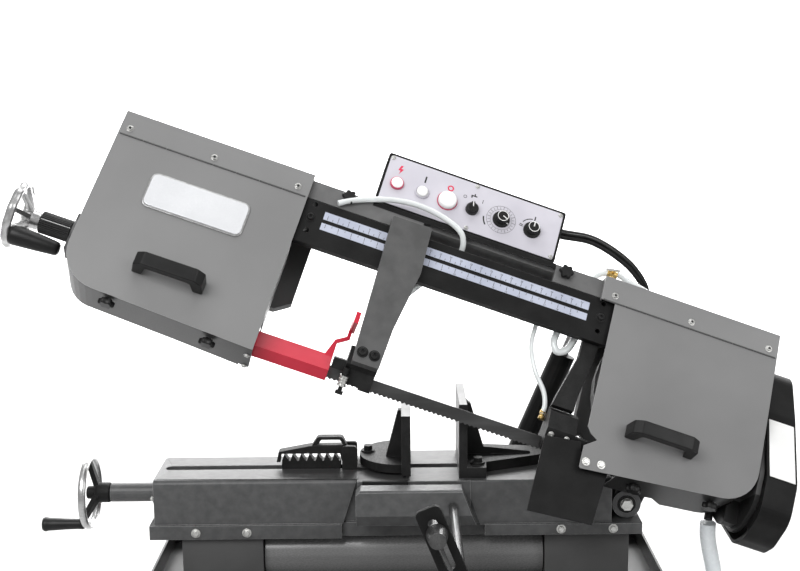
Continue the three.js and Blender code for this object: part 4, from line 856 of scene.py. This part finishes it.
# ---- vise handwheel ----
VISE_AT = (VISE_Y, -46.5)
vise_section = [(64.6 + 4.3 * math.cos(t), -600.5 + 7.2 * math.sin(t)) for t in turns(18)]
piece("vise_wheel_rim", hoop("x", VISE_AT, vise_section, 80), "chrome", "vise_wheel", BENCH, angle=70,
    stands_for="vise_handwheel")
vise_spokes = spoke((14, -586), (63, -600), 3, math.radians(90), (9, 6), 5, VISE_AT)
vise_hub = lathe("x", VISE_AT, [(9, -606), (11, -605.6), (12, -604), (12.6, -590), (17, -587), (19, -584),
        (19, -563), (18, -561.2), (8, -561)])
piece("vise_wheel_spider", [vise_spokes, vise_hub], "cast", "vise_wheel", BENCH, bevel=1.6)
piece("vise_screw_bar", rod("x", 7, VISE_AT, -562, -150, 28), "steel", "vise_wheel", BENCH)
VISE_GRIP = (VISE_AT[0] - 18, VISE_AT[1] - 56)
piece("vise_grip_bolt", [rod("x", 4.5, VISE_GRIP, -642, -598, 20), rod("x", 7.5, VISE_GRIP, -610, -606, 20)],
    "steel", "vise_wheel", BENCH, bevel=0.6)
piece("vise_grip_body", lathe("x", VISE_GRIP, [(5, -609.6), (9, -609.8), (10.4, -612), (9.8, -622),
        (10.6, -646), (12, -668), (12.4, -678), (13.6, -681), (13.5, -685), (11.4, -688.4), (7, -689.4),
        (2, -689.5)]), "plastic", "vise_knob", BENCH, angle=60, stands_for="vise_grip")
piece("oil_nipple", [rod("y", 4.2, (-478, -52), VISE_Y - 24, VISE_Y - 16, 20),
        rod("y", 2.6, (-478, -52), VISE_Y - 28, VISE_Y - 23, 16)], "zinc", "base", BENCH, bevel=0.5)

# ---- control panel ----
PANEL_FRONT = 80
CONTROLS = {"lamp": -591, "start": -540, "stop": -489, "coolant": -439, "speed": -379, "feed": -316}
FILM = PANEL_FRONT + 1.0
piece("panel_film", box(PANEL["left"] + 5, PANEL["right"] - 5, PANEL["bottom"] + 5, PANEL["top"] - 5,
        PANEL_FRONT, FILM, 5), "panel", bevel=0.2)
screw_columns = (PANEL["left"] + 10, (PANEL["left"] + PANEL["right"]) / 2, PANEL["right"] - 10)
panel_screws = [(a, b) for a in screw_columns for b in (PANEL["bottom"] + 10, PANEL["top"] - 10)]
piece("panel_screws", [socket_head("z", p, FILM, 1, 3.4, 2.2) for p in panel_screws], "zinc")


def domed(centre, radius, base, height):
    return lathe("z", centre, [(radius, base), (radius, base + height * 0.7),
            (radius * 0.96, base + height * 0.88), (radius * 0.8, base + height),
            (radius * 0.2, base + height * 1.05)], 48)


def collar(centre, inner, outer, base, height):
    section = [(inner, base), (outer, base), (outer, base + height * 0.6), (outer - 0.8, base + height),
        (inner, base + height)]
    return hoop("z", centre, section, 56)


lamp, start, stop, coolant, speed, feed = [(a, PANEL["row"]) for a in CONTROLS.values()]
piece("lamp_lens", domed(lamp, 11.4, FILM, 7), "white", angle=60)
piece("lamp_ring", collar(lamp, 11.2, 13.4, FILM, 5), "rosy")
piece("start_cap", domed(start, 11, PANEL_FRONT - 4, 13), "white", "start", angle=60,
    stands_for="start_button")
piece("start_ring", collar(start, 11.8, 14, FILM, 3.6), "panel")
piece("stop_cap", domed(stop, 18, PANEL_FRONT - 4, 16), "white", "stop", angle=60, stands_for="stop_button")
piece("stop_ring", collar(stop, 18.6, 20, FILM, 2), "rosy")

KNOB_FACE = FILM + 17.8


def control_knob(centre):
    """A skirted knob with a fluted grip."""
    skirt = [(17, FILM - 0.4), (17, FILM + 2.4), (15.98, FILM + 4), (10.2, FILM + 4.6)]
    grip = [(12.24, FILM + 4), (11.22, FILM + 15), (9.86, FILM + 17.4), (3.4, KNOB_FACE)]
    return [lathe("z", centre, skirt, 56), lathe("z", centre, grip, 64, 16, 0.35)]


def pointer_line(centre, length, lift, angle_deg, start_at=0.0, half=0.9):
    """A thin raised line outwards from a control, at an angle clockwise from up the slope."""
    line = box(-half, half, start_at, length, lift, lift + 0.3)
    turn = Matrix.Rotation(-math.radians(angle_deg), 4, "Z")
    return shifted(changed(line, turn), *centre, 0)


def knob_ring(centre):
    low, high = FILM + 17.2, FILM + 17.6
    return hoop("z", centre, [(9.6, low), (10.8, low), (10.8, high), (9.6, high)], 48)


DIALS = {"speed": (speed, 115), "feed": (feed, -2)}
COOLANT_TURN = 12
for name, (centre, _) in DIALS.items():
    piece(f"{name}_knob", control_knob(centre), "plastic", name, angle=34, stands_for=f"{name}_dial")
piece("coolant_knob", [lathe("z", coolant, [(12.6, FILM - 0.4), (12.6, FILM + 6), (11.6, FILM + 9.6),
        (9.4, FILM + 11.4), (3, FILM + 11.8)], 48),
        changed(box(-3.6, 3.6, -10.4, 10.4, FILM + 10, FILM + 15), Matrix.Translation((*coolant, 0))
        @ Matrix.Rotation(math.radians(COOLANT_TURN), 4, "Z"))], "plastic", "coolant", bevel=0.5, angle=34,
    stands_for="coolant_switch")
for name, (centre, turn) in DIALS.items():
    piece(f"{name}_pointer", [pointer_line(centre, 9.6, KNOB_FACE, turn),
            pointer_line(centre, 16.6, FILM + 4.2, turn, 12.4)], "white", name)
piece("coolant_pointer", pointer_line(coolant, 10, FILM + 15, -COOLANT_TURN), "white", "coolant")
piece("knob_rings", knob_ring(speed), "white", "speed")
piece("feed_ring", knob_ring(feed), "white", "feed")

PRINT_TOP = FILM + 0.2


def arc_mark(centre, radius, half, start_deg, end_deg):
    """A flat printed arc; angles are clockwise from up the slope."""
    count = max(4, int(abs(end_deg - start_deg) / 8))
    inner, outer, low = radius - half, radius + half, FILM + 0.02
    section = [(inner, low), (outer, low), (outer, PRINT_TOP), (inner, PRINT_TOP)]
    rings = []
    for k in range(count + 1):
        angle = math.radians(start_deg + (end_deg - start_deg) * k / count)
        s, c = math.sin(angle), math.cos(angle)
        rings.append([(centre[0] + r * s, centre[1] + r * c, w) for r, w in section])
    return loft(rings)


def ring_mark(centre, radius, half, parts):
    step = 360 / parts
    return [arc_mark(centre, radius, half, k * step, (k + 1) * step) for k in range(parts)]


def bar_mark(centre, u0, u1, v0, v1):
    """A flat printed bar, given from a centre on the panel."""
    return shifted(box(u0, u1, v0, v1, FILM, PRINT_TOP), *centre, 0)


def beyond(control, along, up):
    return control[0] + along, control[1] + up


dial_marks = [pointer_line(speed, 28.5 if k % 2 == 0 else 26.5, FILM, k * 15, 22.5, 0.3) for k in range(24)]
dial_rings = [*ring_mark(speed, 29, 0.25, 6), *ring_mark(speed, 21.5, 0.2, 6),
    arc_mark(speed, 35, 1.4, 232, 262)]
feed_marks = [arc_mark(feed, 24, 0.9, 300, 352), pointer_line(feed, 31, FILM, 2, 22, 1.1),
    pointer_line(feed, 27, FILM, 284, 19.5, 0.7), pointer_line(feed, 27, FILM, 276, 19.5, 0.7)]
coolant_bars = [(17, 24, -0.6, 0.6, -4, 4), (-2, 30, -6, 6, -1.2, 1.2), (-1, 30, -1.2, 1.2, 0, 5),
    (0, 30, -7.6, -5, -5, 0)]
coolant_marks = [bar_mark(beyond(coolant, along, up), *bar) for along, up, *bar in coolant_bars]
piece("panel_marks_black", [*dial_marks, *dial_rings, *feed_marks,
        bar_mark(beyond(start, 0, 29), -1.6, 1.6, -7, 7), *ring_mark(beyond(coolant, -19, 23), 3, 0.4, 2),
        *coolant_marks], "mark")
LIVE_SIGN = [(-2, 10), (2.4, 10), (-0.4, 3), (5, 3), (-2.4, -10), (-1, -1.4), (-5.4, -1.4)]
live_sign = shifted(prism(LIVE_SIGN, "z", FILM, PRINT_TOP), *beyond(lamp, 0, 31), 0)
piece("panel_marks_red", live_sign, "red_mark")
piece("stop_mark", ring_mark(beyond(stop, 0, 29), 5, 1.3, 2), "red_mark")

# ---- blade with teeth ----
WHEEL_RADIUS = 155
IDLER_A = -923
DRIVE_A, WHEEL_B, WHEEL_MID = DRIVE_AT
BLADE_WIDTH, BLADE_THICK = 25, 0.9
CUT_Y, CUT_Z = -23, 65
CANT_ANGLE = math.radians(55)
TOOTH_PITCH, TOOTH_DEPTH = 8.5, 3.0
# The lower run in parts: from a, to a, and the share of the cant at each of the two.
TWISTS = [(-20, -140, 0, 1), (-140, -640, 1, 1), (-640, -900, 1, 0)]


def smoothstep(t):
    return t * t * (3 - 2 * t)


def blade_line():
    """Stations (centre, across, outward) at every tooth tip and gullet, round the whole band."""
    run = WHEEL_RADIUS + 0.6 + BLADE_THICK / 2
    cut_b = CUT_Y * math.cos(CANT_ANGLE) + CUT_Z * math.sin(CANT_ANGLE)
    cut_c = -CUT_Y * math.sin(CANT_ANGLE) + CUT_Z * math.cos(CANT_ANGLE)
    stations = []

    def lower(a, t):
        twist = t * CANT_ANGLE
        centre = Vector((a, WHEEL_B - run + (cut_b - WHEEL_B + run) * t, WHEEL_MID + (cut_c - WHEEL_MID) * t))
        stations.append((centre, Vector((0, math.sin(twist), math.cos(twist))),
                Vector((0, -math.cos(twist), math.sin(twist)))))

    for a0, a1, t0, t1 in TWISTS:
        count = int(abs(a1 - a0) / TOOTH_PITCH) * 2
        for k in range(count):
            share = k / count
            lower(a0 + (a1 - a0) * share, t0 + (t1 - t0) * smoothstep(share) if t0 != t1 else t0)
    half_turn = int(math.pi * run / TOOTH_PITCH) * 2
    across = Vector((0, 0, 1))

    def arc(a, start):
        for k in range(half_turn):
            angle = start - math.pi * k / half_turn
            out = Vector((math.cos(angle), math.sin(angle), 0))
            stations.append((Vector((a, WHEEL_B, WHEEL_MID)) + out * run, across, out))

    arc(IDLER_A, -math.pi / 2)
    top_count = int((DRIVE_A - IDLER_A) / TOOTH_PITCH) * 2
    for k in range(top_count):
        a = IDLER_A + (DRIVE_A - IDLER_A) * k / top_count
        stations.append((Vector((a, WHEEL_B + run, WHEEL_MID)), across, Vector((0, 1, 0))))
    arc(DRIVE_A, math.pi / 2)
    foot = int((DRIVE_A - TWISTS[0][0]) / TOOTH_PITCH) * 2
    for k in range(foot):
        lower(DRIVE_A + (TWISTS[0][0] - DRIVE_A) * k / foot, 0)
    return stations


def toothed_band():
    rings = []
    half, edge = BLADE_THICK / 2, BLADE_WIDTH / 2
    root = edge - TOOTH_DEPTH - 1
    for k, (centre, across, out) in enumerate(blade_line()):
        tip = edge - (TOOTH_DEPTH if k % 2 else 0)
        section = [(-tip, -half * 0.8), (-root, -half), (edge, -half), (edge, half), (-root, half),
            (-tip, half * 0.8)]
        rings.append([tuple(centre + across * w + out * t) for w, t in section])
    return loft(rings, loop=True)


piece("toothed_blade", toothed_band(), "blade", angle=30, stands_for="blade")

# ---- bed details ----
TABLE_SKIN = 0.3  # stops short of the fixed jaw's swivel and of the blade with the head down
piece("table_face", [prism([(-462, 10.4, 2), (-90, 2), (-90, 62.6), (-444, 62.6)], "z", 0, TABLE_SKIN),
        prism([(-444, 85.4), (-90, 85.4), (-90, 136), (-462, 136, 2)], "z", 0, TABLE_SKIN),
        box(-86, 100, -13, 62.6, 0, TABLE_SKIN), box(-86, 98, 85.4, 166, 0, TABLE_SKIN),
        prism([(108, -11), (332, -11), (332, 0), (378, 0), (378, 148), (115, 148)], "z", 0, TABLE_SKIN)],
    "ground", "base", BENCH)
piece("cast_pad", prism([(-18, -15), (-12, -15), (-12, 2.2), (-18, 1)], "x", -78, 6), "cast", "base", BENCH,
    bevel=1.2)
PIVOT_CENTRE = (PIVOT_AT.x, PIVOT_AT.z)
piece("pivot_washer", hoop("y", PIVOT_CENTRE, [(11.4, 1.6), (17, 1.6), (17, 3.4), (11.4, 3.4)], 48), "cast",
    "base", BENCH, bevel=0.4)

# a curved pan between the risers; its light grey tone is a painted reflection
tray_section = [(62 - 46 * math.sin(t), -113.5 - 49 * (1 - math.cos(t)))
    for t in [math.pi * k / 24 for k in range(25)]]
piece("tray_panel", prism(tray_section, "x", -264, 258), "tray", "base", BENCH, angle=40)

GROUND_SKIN = 0.3
GROUND_INSET = 0.4
for name, body in {"movable_jaw": "front_jaw", "fixed_jaw": "back_jaw"}.items():
    points = local_points(name, BENCH)
    top = max(p.z for p in points)
    low, high = box_of([p for p in points if p.z > top - 0.5])
    y_span = (low.y + GROUND_INSET, high.y - GROUND_INSET)
    faces = [box(low.x + GROUND_INSET, high.x - GROUND_INSET, *y_span, top, top + GROUND_SKIN)]
    if name == "fixed_jaw":
        faces.append(box(low.x - GROUND_SKIN, low.x, *y_span, 3, top - GROUND_INSET))
    piece(f"{name}_ground_faces", faces, "plate", body, BENCH)

piece("pivot_lug_ring", hoop("y", PIVOT_CENTRE, [(17.2, 2.8), (26.4, 2.8), (26.4, 3.4), (17.2, 3.4)], 48),
    "bed", place=BENCH, bevel=0.2)


# ---- floor and light ----
def backdrop():
    """A pale floor that curves up into a wall behind the machine, in metres."""
    low_y, bend_y, radius, top, half_width = -6.0, 4.0, 2.5, 7.0, 9
    section = [(low_y, 0), (bend_y, 0)]
    section += [(bend_y + radius * math.sin(t), radius - radius * math.cos(t))
        for t in [math.pi / 2 * k / 16 for k in range(1, 17)]]
    section.append((bend_y + radius, top))
    points = [(x, y, z) for y, z in section for x in (-half_width, half_width)]
    faces = [(2 * i, 2 * i + 1, 2 * i + 3, 2 * i + 2) for i in range(len(section) - 1)]
    mesh = bpy.data.meshes.new("floor")
    mesh.from_pydata(points, [], faces)
    mesh.shade_smooth()
    mesh.materials.append(surface("studio_floor", (0.48, 0.51), (0.6, 0.8), 0, 2, 60, 0.02, edge=0))
    placed("floor", mesh)


backdrop()

world = bpy.data.worlds.new("studio")
world.use_nodes = True
background = world.node_tree.nodes["Background"]
background.inputs["Color"].default_value = (1, 1, 1, 1)
background.inputs["Strength"].default_value = 0.42
scene.world = world


def softbox(name, place, target, width, height, power):
    data = bpy.data.lights.new(name, "AREA")
    data.shape = "RECTANGLE"
    data.size = width
    data.size_y = height
    data.energy = power
    light = placed(name, data)
    light.location = place
    light.rotation_euler = (Vector(target) - Vector(place)).to_track_quat("-Z", "Y").to_euler()


softbox("key", (-1.6, -2.8, 3.3), (0, 0, 0.7), 2.6, 1.8, 105)
softbox("fill", (2.8, -2.2, 2.4), (0, 0, 0.7), 1.6, 2.2, 34)
softbox("top", (0, 0.6, 3.6), (0, 0, 0.6), 3.0, 1.6, 46)
softbox("back", (0, 4.2, 2.6), (0, 6.4, 1.2), 6.0, 2.4, 680)
softbox("rear_floor", (0, 3.2, 2.6), (0, 2.4, 0), 6.0, 1.6, 300)
scene.view_settings.view_transform = "Standard"
